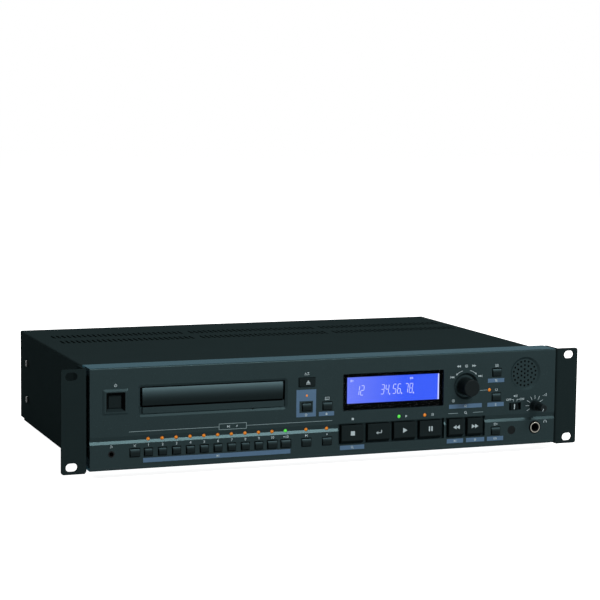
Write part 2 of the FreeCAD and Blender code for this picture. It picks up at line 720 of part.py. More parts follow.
def mouth_cutters():
    """Bevel, through opening and sill groove of the tray's mouth."""
    low = SILL_BOTTOM - SILL_GROOVE
    size = (2 * MOUTH_HALF, MOUTH_TOP - low)
    outer = (size[0] + 2 * MOUTH_BEVEL, size[1] + 2 * MOUTH_BEVEL)
    centre = (MOUTH_TOP + low) / 2
    bevel = tapered_block(TRAY_X, centre, outer, size, MOUTH_CORNER + MOUTH_BEVEL, MOUTH_CORNER,
                          0, MOUTH_BEVEL_DEPTH)
    pocket = round_block(TRAY_X, centre, size, MOUTH_CORNER, MOUTH_BEVEL_DEPTH, SILL_GROOVE_DEPTH)
    through = block(TRAY_X - MOUTH_HALF, TRAY_X + MOUTH_HALF, 1, PANEL_FACE_WALL + 1, MOUTH_BOTTOM, MOUTH_TOP)
    release = rod_y(TRAY_X + RELEASE_HOLE_SHIFT, low, RELEASE_HOLE_RADIUS, 0, PANEL_FACE_WALL + 1)
    return [bevel, pocket, through, release]


def power_frame():
    """Raised frame round the power key."""
    width, height = POWER_FRAME
    front = (width - 2 * POWER_FRAME_SLOPE, height - 2 * POWER_FRAME_SLOPE)
    raised = tapered_block(POWER_X, POWER_HEIGHT, front, POWER_FRAME, 0.6, 1.2, -POWER_FRAME_PROUD, 0)
    root = round_block(POWER_X, POWER_HEIGHT, POWER_FRAME, 1.2, 0, 1)
    return raised.fuse(root)


def power_well():
    well = (POWER_WELL, POWER_WELL)
    opening = POWER_CAP + 2 * POWER_CAP_GAP
    return tapered_block(POWER_X, POWER_HEIGHT, well, (opening, opening), 0.8, 0.6,
                         -POWER_FRAME_PROUD, PANEL_FACE_WALL)


def number_strip():
    """Shallow sunk strip along the number keys."""
    x0 = NUMBER_X - NARROW_HOLE[0] / 2 - STRIP_MARGIN_X
    x1 = NUMBER_X + (NUMBER_KEYS + 1) * NUMBER_PITCH + WIDE_HOLE[0] / 2 + STRIP_MARGIN_X
    half = NARROW_HOLE[1] / 2 + STRIP_MARGIN_Z
    return block(x0, x1, 0, STRIP_DEPTH, KEY_ROW_HEIGHT - half, KEY_ROW_HEIGHT + half)


def lamp_hole(x, height):
    return rod_y(x, height, LAMP_RADIUS + LAMP_EASE, -1, PANEL_FACE_WALL + 4)


def panel_holes():
    through = PANEL_FACE_WALL + 1
    cutters = [number_strip()]
    for name, x, height, hole in small_keys():
        cutters.append(round_block(x, height, hole, KEY_CORNER, -1, through))
    amber, green = lamp_places()
    cutters += [lamp_hole(x, height) for x, height in amber + green]
    cutters += bank_cutters()
    cutters += grille_cutters()
    cutters += mouth_cutters()
    cutters.append(power_well())
    cutters.append(round_block(WINDOW_X, WINDOW_HEIGHT, WINDOW_SIZE, WINDOW_CORNER, -1, through))
    cutters.append(cone_y(TRACK_X, TRACK_HEIGHT, DISH_RADIUS, DISH_FLOOR_RADIUS, 0, DISH_DEPTH))
    cutters.append(rod_y(TRACK_X, TRACK_HEIGHT, TRACK_SLIDER_RADIUS + REST_GAP, 0, through))
    cutters.append(rod_y(LEVEL_X, LEVEL_HEIGHT, LEVEL_SHAFT_RADIUS + REST_GAP, -1, through))
    cutters.append(centred_block(SWITCH_X, SWITCH_HEIGHT, SWITCH_HOLE, -1, through))
    cutters.append(rod_y(PHONES_X, PHONES_HEIGHT, PHONES_HOLE_RADIUS, -1, through))
    cutters.append(rod_y(REMOTE_X, REMOTE_HEIGHT, REMOTE_RING_RADIUS + HOLE_EASE, -1, through))
    cutters.append(rod_y(SENSOR_X, KEY_ROW_HEIGHT, SENSOR_RADIUS + HOLE_EASE, -1, through))
    return cutters


def round_a_window(shape, window, depths):
    """A shape's part between two depths, as solids that meet in line with a window's edges."""
    left, right, bottom, top = window
    far = RACK_WIDTH
    cells = [
        block(-far, left, *depths, -far, far),
        block(left, right, *depths, top, far),
        block(left, right, *depths, -far, bottom),
        block(right, far, *depths, -far, far),
    ]
    return [solid for cell in cells for solid in shape.common(cell).Solids]


def front_panel():
    sill = block(TRAY_X - DOOR_WIDTH / 2, TRAY_X + DOOR_WIDTH / 2, SILL_SINK, PANEL_FACE_WALL,
                 SILL_BOTTOM, SILL_BOTTOM + SILL_HEIGHT)
    body = panel_shell().fuse([
        bank_block(BANK_LEFT_X, BANK_ONE_WIDTH),
        bank_block(BANK_TWO_X, BANK_TWO_WIDTH),
        power_frame(),
    ])
    moulding = body.cut(panel_holes()).fuse(sill).removeSplitter()
    mouth = (TRAY_X - MOUTH_HALF, TRAY_X + MOUTH_HALF, MOUTH_BOTTOM, MOUTH_TOP)
    return Part.makeCompound(round_a_window(moulding, mouth, (-2, PANEL_DEPTH + 1)))


def small_key(x, height, hole):
    """Cap with a sloped top edge, retaining lip and plunger."""
    width = hole[0] - 2 * KEY_GAP
    tall = hole[1] - 2 * KEY_GAP
    low = height - tall / 2
    high = height + tall / 2
    x0 = x - width / 2
    profile = [
        FreeCAD.Vector(x0, back(PANEL_FACE_WALL + REST_GAP), up(low)),
        FreeCAD.Vector(x0, back(-KEY_PROUD), up(low)),
        FreeCAD.Vector(x0, back(-KEY_PROUD), up(height)),
        FreeCAD.Vector(x0, back(-KEY_PROUD + KEY_SLOPE), up(high)),
        FreeCAD.Vector(x0, back(PANEL_FACE_WALL + REST_GAP), up(high)),
    ]
    cap = extruded(profile, FreeCAD.Vector(width, 0, 0))
    front_edges = [edge for edge in cap.Edges if edge.BoundBox.YMax < back(0.2)]
    cap = cap.makeChamfer(KEY_EDGE / 2, front_edges)
    lip_depth = PANEL_FACE_WALL + REST_GAP
    lip = centred_block(x, height, (hole[0] + 2 * KEY_LIP, hole[1] + 2 * KEY_LIP),
                        lip_depth, lip_depth + LIP_THICK)
    plunger = rod_y(x, height, PLUNGER_RADIUS, lip_depth, PLUNGER_END)
    return fused([cap, lip, plunger])


def big_key(x, width):
    """Wide cap whose lower edge slopes back, with its lip and plunger."""
    low = BIG_KEY_BOTTOM
    high = low + BIG_KEY_HEIGHT
    x0 = x - width / 2
    lip_depth = BANK_DEPTH + BANK_FLOOR + REST_GAP
    profile = [
        FreeCAD.Vector(x0, back(lip_depth), up(low)),
        FreeCAD.Vector(x0, back(CHIN_DEPTH - BIG_KEY_PROUD), up(low)),
        FreeCAD.Vector(x0, back(-BIG_KEY_PROUD), up(low + CHIN_HEIGHT)),
        FreeCAD.Vector(x0, back(-BIG_KEY_PROUD), up(high)),
        FreeCAD.Vector(x0, back(lip_depth), up(high)),
    ]
    cap = extruded(profile, FreeCAD.Vector(width, 0, 0))
    front_edges = [edge for edge in cap.Edges if edge.BoundBox.YMax < back(0)]
    cap = cap.makeFillet(KEY_EDGE, front_edges)
    lip = block(x0 - KEY_LIP, x0 + width + KEY_LIP, lip_depth, lip_depth + LIP_THICK,
                low - KEY_LIP, high + KEY_LIP)
    plunger = rod_y(x, (low + high) / 2, PLUNGER_RADIUS, lip_depth, PLUNGER_END)
    return fused([cap, lip, plunger])


def power_button():
    size = (POWER_CAP, POWER_CAP)
    lip_depth = PANEL_FACE_WALL + REST_GAP
    cap = round_block(POWER_X, POWER_HEIGHT, size, KEY_CORNER, POWER_CAP_DEPTH, lip_depth)
    front = [edge for edge in cap.Edges if edge.BoundBox.YMax < back(POWER_CAP_DEPTH) + 0.01]
    cap = cap.makeFillet(KEY_EDGE, front)
    lip_size = (POWER_CAP + 2 * POWER_CAP_GAP + 2 * KEY_LIP,) * 2
    lip = centred_block(POWER_X, POWER_HEIGHT, lip_size, lip_depth, lip_depth + LIP_THICK)
    plunger = centred_block(POWER_X, POWER_HEIGHT, (POWER_PLUNGER, POWER_PLUNGER), lip_depth,
                            BOARD_DEPTH - POWER_TRAVEL)
    return fused([cap, lip, plunger])


def lamp(x, height):
    """Lamp with a domed end, standing on the front board."""
    ground = 0
    if height == LAMP_HEIGHT:
        ground = GROOVE_DEPTH * (GROOVE_HEIGHT + GROOVE_ABOVE - height) / GROOVE_ABOVE
    tip = ground - LAMP_PROUD
    dome_height = LAMP_RADIUS * 0.5
    stem = rod_y(x, height, LAMP_RADIUS, tip + dome_height, BOARD_DEPTH)
    dome_radius = (LAMP_RADIUS ** 2 + dome_height ** 2) / (2 * dome_height)
    centre = FreeCAD.Vector(x, back(tip + dome_radius), up(height))
    dome = Part.makeSphere(dome_radius, centre)
    limit = rod_y(x, height, LAMP_RADIUS, tip - 1, tip + dome_height + 0.1)
    return fused([stem, dome.common(limit)])


def lamps(places):
    return Part.makeCompound([lamp(x, height) for x, height in places])


def display_window():
    size = (WINDOW_SIZE[0] - 2 * WINDOW_GAP, WINDOW_SIZE[1] - 2 * WINDOW_GAP)
    lip_size = (WINDOW_SIZE[0] + 2 * WINDOW_LIP, WINDOW_SIZE[1] + 2 * WINDOW_LIP)
    corner = WINDOW_CORNER - WINDOW_GAP
    pane = round_block(WINDOW_X, WINDOW_HEIGHT, size, corner, WINDOW_SINK, PANEL_FACE_WALL)
    lip = centred_block(WINDOW_X, WINDOW_HEIGHT, lip_size, PANEL_FACE_WALL,
                        PANEL_FACE_WALL + WINDOW_LIP_THICK)
    return fused([pane, lip])


def display_module():
    front = PANEL_FACE_WALL + WINDOW_LIP_THICK + REST_GAP
    return centred_block(WINDOW_X, WINDOW_HEIGHT, MODULE_SIZE, front, BOARD_DEPTH)


def track_slider():
    """Sleeve that carries the knob's stem and slides back into the control's body."""
    front = DISH_DEPTH - TRACK_TRAVEL
    end = BOARD_DEPTH - TRACK_TRAVEL - REST_GAP
    sleeve = rod_y(TRACK_X, TRACK_HEIGHT, TRACK_SLIDER_RADIUS, front, end)
    return sleeve.cut(rod_y(TRACK_X, TRACK_HEIGHT, TRACK_STEM_RADIUS + RUNNING_EASE, front - 1, end + 1))


def track_knob():
    """Round knob with a soft edge and a stem through the sleeve."""
    foot = DISH_DEPTH - TRACK_TRAVEL - REST_GAP
    tip = -TRACK_KNOB_PROUD
    knob = cone_y(TRACK_X, TRACK_HEIGHT, TRACK_KNOB_TIP_RADIUS, TRACK_KNOB_RADIUS, tip, foot)
    rim = [edge for edge in knob.Edges if edge.BoundBox.YMax < back(tip) + 0.01]
    knob = knob.makeFillet(TRACK_KNOB_EDGE, rim)
    stem = rod_y(TRACK_X, TRACK_HEIGHT, TRACK_STEM_RADIUS, foot, BOARD_DEPTH - TRACK_TRAVEL - 2 * REST_GAP)
    return fused([knob, stem])


def level_knob():
    """Skirted knob with a ribbed grip and a pointer line, and the shaft that it turns."""
    foot = -LEVEL_GAP
    waist = -LEVEL_SKIRT_LENGTH
    tip = -LEVEL_PROUD
    skirt = cone_y(LEVEL_X, LEVEL_HEIGHT, LEVEL_SKIRT_RADIUS - 0.5, LEVEL_SKIRT_RADIUS, waist, foot)
    grip = rod_y(LEVEL_X, LEVEL_HEIGHT, LEVEL_GRIP_RADIUS, tip, waist)
    rim = [edge for edge in grip.Edges if edge.BoundBox.YMax < back(tip) + 0.01]
    grip = grip.makeFillet(KEY_EDGE, rim)
    shaft = rod_y(LEVEL_X, LEVEL_HEIGHT, LEVEL_SHAFT_RADIUS, foot, BOARD_DEPTH - REST_GAP)
    knob = fused([skirt, grip, shaft])
    cutters = []
    for index in range(KNOB_RIBS):
        angle = 2 * math.pi * index / KNOB_RIBS
        x = LEVEL_X + (LEVEL_GRIP_RADIUS + 0.15) * math.cos(angle)
        height = LEVEL_HEIGHT + (LEVEL_GRIP_RADIUS + 0.15) * math.sin(angle)
        cutters.append(rod_y(x, height, 0.35, tip + 1.5, waist))
    pointer = block(LEVEL_X - POINTER_WIDTH / 2, LEVEL_X + POINTER_WIDTH / 2, tip - 1, tip + 0.3,
                    LEVEL_HEIGHT + 0.6, LEVEL_HEIGHT + LEVEL_GRIP_RADIUS + 1)
    centre = FreeCAD.Vector(LEVEL_X, 0, up(LEVEL_HEIGHT))
    pointer.rotate(centre, FreeCAD.Vector(0, 1, 0), -LEVEL_REST_ANGLE)
    cutters.append(pointer)
    return knob.cut(cutters)


def speaker_switch():
    """Slide lever with a guiding plate behind the panel and a pin into the switch."""
    x = SWITCH_X - LEVER_TRAVEL / 2
    plate_depth = PANEL_FACE_WALL + REST_GAP
    lever = centred_block(x, SWITCH_HEIGHT, LEVER_SIZE, -LEVER_PROUD, plate_depth)
    upright = [edge for edge in lever.Edges if edge.BoundBox.YMax < back(-LEVER_PROUD) + 0.01]
    lever = lever.makeChamfer(KEY_EDGE, upright)
    ribs = []
    for side in (-1, 1):
        for step in (1.1, 2.1):
            ribs.append(centred_block(x + side * step, SWITCH_HEIGHT, (0.4, LEVER_SIZE[1]),
                                      -LEVER_PROUD - 1, -LEVER_PROUD + 0.4))
    plate = centred_block(x, SWITCH_HEIGHT, (SWITCH_HOLE[0] + LEVER_TRAVEL, SWITCH_HOLE[1] + 2), plate_depth,
                          plate_depth + LIP_THICK)
    pin = centred_block(x, SWITCH_HEIGHT, (3.0, 3.0), plate_depth, BOARD_DEPTH - 2)
    return fused([lever.cut(ribs), plate, pin])


def speaker():
    """Small round loudspeaker: basket, cone and magnet, open towards the grille."""
    front = PANEL_FACE_WALL
    rear = front + SPEAKER_DEPTH
    points = [
        (SPEAKER_RADIUS, front),
        (SPEAKER_RADIUS, front + 2.5),
        (SPEAKER_RADIUS - 4, front + 5),
        (SPEAKER_RADIUS - 4, rear),
        (0, rear),
        (0, front + 3.2),
        (3.5, front + 2.6),
        (SPEAKER_RADIUS - 2, front + 0.8),
        (SPEAKER_RADIUS - 1.5, front),
    ]
    return turned_y(points, SPEAKER_X, SPEAKER_HEIGHT)


def phones_jack():
    width, tall = PHONES_BODY
    ring = rod_y(PHONES_X, PHONES_HEIGHT, PHONES_RING_RADIUS, -0.9, PANEL_FACE_WALL)
    body = centred_block(PHONES_X, PHONES_HEIGHT, PHONES_BODY, PANEL_FACE_WALL, PHONES_BORE_LENGTH + 2)
    shoulder = rod_y(PHONES_X, PHONES_HEIGHT, PHONES_HOLE_RADIUS - HOLE_EASE, 1.2, PANEL_FACE_WALL)
    jack = fused([ring, shoulder, body])
    rim = cone_y(PHONES_X, PHONES_HEIGHT, PHONES_BORE + 0.7, PHONES_BORE, -0.9, -0.2)
    return jack.cut([rod_y(PHONES_X, PHONES_HEIGHT, PHONES_BORE, -1, PHONES_BORE_LENGTH), rim])


def remote_jack():
    ring = rod_y(REMOTE_X, REMOTE_HEIGHT, REMOTE_RING_RADIUS, -0.3, PANEL_FACE_WALL)
    body = centred_block(REMOTE_X, REMOTE_HEIGHT, (REMOTE_BODY, REMOTE_BODY), PANEL_FACE_WALL, BOARD_DEPTH)
    bore = rod_y(REMOTE_X, REMOTE_HEIGHT, REMOTE_BORE, -1, REMOTE_BORE_LENGTH - 0.5)
    return fused([ring, body]).cut(bore)


def remote_sensor():
    lens = rod_y(SENSOR_X, KEY_ROW_HEIGHT, SENSOR_RADIUS, 0.2, PANEL_FACE_WALL)
    stem = centred_block(SENSOR_X, KEY_ROW_HEIGHT, (9.0, 9.0), PANEL_FACE_WALL, BOARD_DEPTH)
    return fused([lens, stem])


def board_outline():
    """Front board: a low strip with towers beside and right of the tray."""
    half = PANEL_HALF - PANEL_WALL - BOARD_MARGIN
    top = PANEL_TOP - PANEL_WALL - 1.5
    low = PANEL_BOTTOM + PANEL_WALL + 1.0
    tray_left = TRAY_X - MOUTH_HALF - 1.5
    tray_right = TRAY_X + MOUTH_HALF + 1.5
    sill = SILL_BOTTOM - 6
    speaker_left = SPEAKER_X - SPEAKER_RADIUS - 2
    step = SPEAKER_HEIGHT - SPEAKER_RADIUS - 3
    corners = [
        (-half, low), (half, low), (half, step), (speaker_left, step), (speaker_left, top),
        (tray_right, top), (tray_right, sill), (tray_left, sill), (tray_left, top), (-half, top),
    ]
    points = [FreeCAD.Vector(x, back(BOARD_DEPTH), up(height)) for x, height in corners]
    return extruded(points, FreeCAD.Vector(0, BOARD_SHEET, 0))


def switch_cell(x, height):
    """Push switch on the board, with its own short pin towards the key."""
    size = (SWITCH_CELL, SWITCH_CELL)
    front = BOARD_DEPTH - SWITCH_CELL_DEPTH
    body = centred_block(x, height, size, front, BOARD_DEPTH)
    return body.fuse(rod_y(x, height, PLUNGER_RADIUS, front - SWITCH_CELL_PIN, front))


def control_body(x, height, shaft_radius):
    size = (CONTROL_BODY, CONTROL_BODY)
    body = centred_block(x, height, size, BOARD_DEPTH - CONTROL_BODY_DEPTH, BOARD_DEPTH)
    return body.cut(rod_y(x, height, shaft_radius + SHAFT_EASE, 0, BOARD_DEPTH))


def slide_switch_body():
    size = (SWITCH_HOLE[0] + LEVER_TRAVEL, SWITCH_HOLE[1] + 2)
    body = centred_block(SWITCH_X, SWITCH_HEIGHT, size, BOARD_DEPTH - 4, BOARD_DEPTH)
    slot = (3.0 + LEVER_TRAVEL + 1.0, 4.0)
    return body.cut(centred_block(SWITCH_X, SWITCH_HEIGHT, slot, BOARD_DEPTH - 5, BOARD_DEPTH))


def power_switch_body():
    size = (POWER_PLUNGER + 6, POWER_PLUNGER + 6)
    body = centred_block(POWER_X, POWER_HEIGHT, size, BOARD_DEPTH - POWER_TRAVEL - 0.8, BOARD_DEPTH)
    slot = (POWER_PLUNGER + 2 * POWER_CAP_GAP,) * 2
    return body.cut(centred_block(POWER_X, POWER_HEIGHT, slot, 0, BOARD_DEPTH))


def front_board():
    board = board_outline()
    width, tall = PHONES_BODY
    jack_space = (width + 1.0, tall + 1.0)
    holes = [
        centred_block(PHONES_X, PHONES_HEIGHT, jack_space, BOARD_DEPTH - 1, BOARD_DEPTH + 3),
        centred_block(POWER_X, POWER_HEIGHT, (POWER_PLUNGER + 1,) * 2, BOARD_DEPTH - 1, BOARD_DEPTH + 3),
    ]
    board = board.cut(holes)
    parts = [board]
    for name, x, height, hole in small_keys():
        parts.append(switch_cell(x, height))
    for name, x, width in big_keys():
        parts.append(switch_cell(x, BIG_KEY_BOTTOM + BIG_KEY_HEIGHT / 2))
    parts.append(control_body(TRACK_X, TRACK_HEIGHT, TRACK_SLIDER_RADIUS))
    parts.append(control_body(LEVEL_X, LEVEL_HEIGHT, LEVEL_SHAFT_RADIUS))
    parts.append(slide_switch_body())
    parts.append(power_switch_body())
    posts = []
    for x, height in board_posts():
        posts.append(rod_y(x, height, STANDOFF_RADIUS, PANEL_FACE_WALL, BOARD_DEPTH))
    return fused(parts + posts)


def board_posts():
    """Posts between the panel's face wall and the front board."""
    low = PANEL_BOTTOM + PANEL_WALL + 3.5
    high = PANEL_TOP - PANEL_WALL - 5.0
    return [
        (POWER_X + 6.0, low), (BANK_LEFT_X - 6.0, low), (PHONES_X - 14.0, low),
        (POWER_X - 12.0, high), (SECOND_COLUMN_X, high), (RIGHT_COLUMN_X - 8.0, high),
    ]


def rack_ear():
    """Right ear: a slotted front plate bent back, with a flange jogged in to the case."""
    edge = RACK_WIDTH / 2
    flange = EAR_FLANGE_X
    jog_start = back(PANEL_DEPTH + 0.8)
    jog_end = jog_start + EAR_JOG_SLOPE
    end = jog_start + EAR_FLANGE_REACH
    seat = COVER_HALF
    t = EAR_THICK
    bottom = BASE_Z
    plan = [
        (edge, -t), (flange, -t), (flange, jog_start), (seat, jog_end), (seat, end),
        (seat + t, end), (seat + t, jog_end + 0.8), (flange + t, jog_start + 0.8), (flange + t, 0), (edge, 0),
    ]
    points = [FreeCAD.Vector(x, y, bottom) for x, y in plan]
    ear = extruded(points, FreeCAD.Vector(0, 0, EAR_HEIGHT))
    bend = [e for e in ear.Edges if vertical_at(e, flange, -t)]
    ear = ear.makeFillet(t, bend)
    inside = [e for e in ear.Edges if vertical_at(e, flange + t, 0)]
    ear = ear.makeFillet(EAR_INNER_BEND, inside)
    corners = [e for e in ear.Edges if outer_corner(e, edge)]
    ear = ear.makeFillet(EAR_CORNER, corners)
    cutters = [slot(SLOT_SPACING_X / 2, side * SLOT_SPACING_Z / 2) for side in (-1, 1)]
    for low, high in ((-1, EAR_FLANGE_TRIM), (EAR_HEIGHT - EAR_FLANGE_TRIM, EAR_HEIGHT + 1)):
        cutters.append(block(seat - 1, flange + t + 1, PANEL_DEPTH, PANEL_DEPTH + 60, low, high))
    for x, depth, height in side_screws()[2:]:
        cutters.append(rod_x(seat - 1, seat + t + 1, depth, height, SCREW_RADIUS + HOLE_EASE))
    slant = [
        FreeCAD.Vector(flange - 1, -t - 1, bottom - 1),
        FreeCAD.Vector(flange + 3, -t - 1, bottom - 1),
        FreeCAD.Vector(flange - 1, -t - 1, bottom + 3),
    ]
    cutters.append(extruded(slant, FreeCAD.Vector(0, t + 30, 0)))
    return ear.cut(cutters)


def vertical_at(edge, x, y):
    box = edge.BoundBox
    return box.ZLength > EAR_HEIGHT / 2 and abs(box.Center.x - x) < 0.01 and abs(box.Center.y - y) < 0.01


def outer_corner(edge, x):
    box = edge.BoundBox
    thin = box.XLength < 0.01 and box.ZLength < 0.01
    return thin and box.YLength > EAR_THICK * 0.9 and abs(box.Center.x - x) < 0.01


def slot(x, z):
    """Rack slot with round ends, through the ear."""
    half = (SLOT_LENGTH - SLOT_WIDTH) / 2
    radius = SLOT_WIDTH / 2
    start = -EAR_THICK - 1
    length = EAR_THICK + 2
    middle = Part.makeBox(2 * half, length, SLOT_WIDTH, FreeCAD.Vector(x - half, start, z - radius))
    ends = []
    for side in (-1, 1):
        centre = FreeCAD.Vector(x + side * half, start, z)
        ends.append(Part.makeCylinder(radius, length, centre, FreeCAD.Vector(0, 1, 0)))
    return middle.fuse(ends).removeSplitter()


def vent_slot(x, depth):
    half_w = VENT_WIDTH / 2
    half_l = VENT_LENGTH / 2 - half_w
    z = up(COVER_TOP - COVER_SHEET) - 1
    y0 = back(depth) - half_l
    y1 = back(depth) + half_l
    edges = [
        Part.LineSegment(FreeCAD.Vector(x - half_w, y0, z), FreeCAD.Vector(x - half_w, y1, z)),
        Part.Arc(FreeCAD.Vector(x - half_w, y1, z), FreeCAD.Vector(x, y1 + half_w, z),
                 FreeCAD.Vector(x + half_w, y1, z)),
        Part.LineSegment(FreeCAD.Vector(x + half_w, y1, z), FreeCAD.Vector(x + half_w, y0, z)),
        Part.Arc(FreeCAD.Vector(x + half_w, y0, z), FreeCAD.Vector(x, y0 - half_w, z),
                 FreeCAD.Vector(x - half_w, y0, z)),
    ]
    wire = Part.Wire([edge.toShape() for edge in edges])
    return Part.Face(wire).extrude(FreeCAD.Vector(0, 0, COVER_SHEET + 2))


def vents():
    cutters = []
    for row in range(VENT_ROWS):
        depth = CASE_DEPTH - VENT_BACK_INSET - row * VENT_ROW_PITCH
        for group in range(VENT_GROUPS):
            centre = VENT_OFFSET_X + (group - (VENT_GROUPS - 1) / 2) * VENT_GROUP_PITCH
            for index in range(VENT_COUNT):
                cutters.append(vent_slot(centre + (index - (VENT_COUNT - 1) / 2) * VENT_PITCH, depth))
    return cutters


def top_cover():
    """Folded sheet: the top and both sides, tucked into the panel at the front."""
    front = PANEL_DEPTH - COVER_TUCK
    length = CASE_DEPTH - front
    outer = Part.makeBox(2 * COVER_HALF, length, COVER_TOP - COVER_BOTTOM,
                         FreeCAD.Vector(-COVER_HALF, back(front), up(COVER_BOTTOM)))
    folds = [e for e in outer.Edges if e.BoundBox.YLength > 1 and e.BoundBox.ZMin > up(COVER_TOP) - 0.01]
    outer = outer.makeFillet(COVER_BEND, folds)
    inner_half = COVER_HALF - COVER_SHEET
    inner = Part.makeBox(2 * inner_half, length + 2, COVER_TOP - COVER_SHEET - COVER_BOTTOM + 1,
                         FreeCAD.Vector(-inner_half, back(front - 1), up(COVER_BOTTOM - 1)))
    folds = [e for e in inner.Edges
             if e.BoundBox.YLength > 1 and e.BoundBox.ZMin > up(COVER_TOP - COVER_SHEET) - 0.01]
    inner = inner.makeFillet(COVER_BEND - COVER_SHEET, folds)
    cutters = [inner]
    wide = COVER_HALF + 1
    panel_floor = PANEL_BOTTOM + PANEL_WALL + REST_GAP
    cutters.append(block(-wide, wide, front - 1, PANEL_DEPTH + REST_GAP, COVER_BOTTOM - 1, panel_floor))
    cutters.append(block(-wide, wide, CASE_DEPTH - COVER_NOTCH_LENGTH, CASE_DEPTH + 1,
                         COVER_BOTTOM - 1, CHASSIS_BOTTOM))
    for x, depth, height in side_screws():
        hole = rod_x(COVER_HALF - 2 * COVER_SHEET, COVER_HALF + 1, depth, height, SCREW_RADIUS + HOLE_EASE)
        cutters += [hole, mirrored_x(hole)]
    return outer.cut(cutters + vents())


def bottom_chassis():
    """Floor, low side walls, front wall and rear tabs of the case."""
    half = CHASSIS_HALF
    t = CHASSIS_SHEET
    front = FRONT_WALL_DEPTH
    side_top = CHASSIS_BOTTOM + CHASSIS_SIDE_HEIGHT
    wall_top = COVER_TOP - COVER_SHEET - REST_GAP
    parts = [
        block(-half, half, front, REAR_PANEL_DEPTH, CHASSIS_BOTTOM, CHASSIS_FLOOR),
        block(-half, half, front, front + t, CHASSIS_BOTTOM, wall_top),
        block(-half, half, front, front + CHASSIS_TOP_LIP, wall_top - t, wall_top),
    ]
    for x0, x1 in ((-half, -half + t), (half - t, half)):
        parts.append(block(x0, x1, front, REAR_PANEL_DEPTH, CHASSIS_BOTTOM, side_top))
    for x0, x1 in ((-half, -half + t + FLANGE_TAB), (half - t - FLANGE_TAB, half)):
        parts.append(block(x0, x1, REAR_PANEL_DEPTH - t, REAR_PANEL_DEPTH, CHASSIS_BOTTOM, side_top))
    for x, depth in standoff_places():
        parts.append(rod_z(x, depth, STANDOFF_RADIUS, CHASSIS_BOTTOM, CHASSIS_FLOOR + STANDOFF_HEIGHT))
    wall_cut = 3.0
    window = (TRAY_X - DRIVE_HALF + 5, TRAY_X + DRIVE_HALF - 5,
              TRAY_SKIRT_END - wall_cut, TRAY_TOP + wall_cut)
    cutters = [
        block(window[0], window[1], front - 1, front + t + 1, window[2], window[3]),
        block(BANK_LEFT_X, RIGHT_COLUMN_X, front - 1, front + t + 1, KEY_ROW_HEIGHT, UPPER_KEY_HEIGHT),
    ]
    for x, depth, height in side_screws():
        hole = rod_x(half - 2 * t, half + 1, depth, height, SCREW_RADIUS + HOLE_EASE)
        cutters += [hole, mirrored_x(hole)]
    for x, height in rear_screws():
        cutters.append(rod_y(x, height, SCREW_RADIUS + HOLE_EASE, REAR_PANEL_DEPTH - 3, REAR_PANEL_DEPTH + 1))
    for x, depth in foot_places():
        cutters.append(rod_z(x, depth, SCREW_RADIUS + HOLE_EASE, CHASSIS_BOTTOM - 1, CHASSIS_FLOOR + 1))
    folded = fused(parts).cut(cutters)
    wall = round_a_window(folded, window, (front - 1, front + t))
    behind = folded.cut(block(-half - 1, half + 1, front - 1, front + t, CHASSIS_BOTTOM - 1, wall_top + 1))
    return Part.makeCompound(wall + behind.Solids)


def board_corners(centre_x, size):
    inset = STANDOFF_INSET
    x0 = centre_x - size[0] / 2 + inset
    x1 = centre_x + size[0] / 2 - inset
    y0 = BOARD_BACK_DEPTH - size[1] + inset
    y1 = BOARD_BACK_DEPTH - inset
    return [(x, depth) for x in (x0, x1) for depth in (y0, y1)]


def standoff_places():
    return board_corners(MAIN_BOARD_X, MAIN_BOARD) + board_corners(SUPPLY_X, SUPPLY_BOARD)


def rear_panel():
    """Plate with the connectors' openings."""
    half = CHASSIS_HALF - SHEET_GAP
    top = COVER_TOP - COVER_SHEET - REST_GAP
    plate = block(-half, half, REAR_PANEL_DEPTH, CASE_DEPTH, CHASSIS_BOTTOM, top)
    start = REAR_PANEL_DEPTH - 1
    end = CASE_DEPTH + 1
    cutters = [rod_y(x, height, SCREW_RADIUS + HOLE_EASE, start, end) for x, height in rear_screws()]
    for x in xlr_places():
        cutters.append(rod_y(x, XLR_HEIGHT, XLR_RADIUS - 0.5 + HOLE_EASE, start, end))
    for height in phono_heights():
        cutters.append(rod_y(PHONO_X, height, PHONO_SLEEVE_RADIUS + 1.0 + HOLE_EASE, start, end))
    data = (DATA_SHELL[0] + 2 * HOLE_EASE, DATA_SHELL[1] + 2 * HOLE_EASE)
    cutters.append(centred_block(DATA_X, DATA_HEIGHT, data, start, end))
    inlet = inlet_body_size(2 * HOLE_EASE)
    cutters.append(centred_block(INLET_X, INLET_HEIGHT, inlet, start, end))
    return plate.cut(cutters)


def xlr_places():
    return [XLR_X - XLR_SPACING / 2, XLR_X + XLR_SPACING / 2]


def phono_heights():
    return [PHONO_HEIGHT, PHONO_HEIGHT + PHONO_SPACING]


def inlet_body_size(extra):
    return (INLET_CAVITY[0] + 2 * INLET_WALL + extra, INLET_CAVITY[1] + 2 * INLET_WALL + extra)


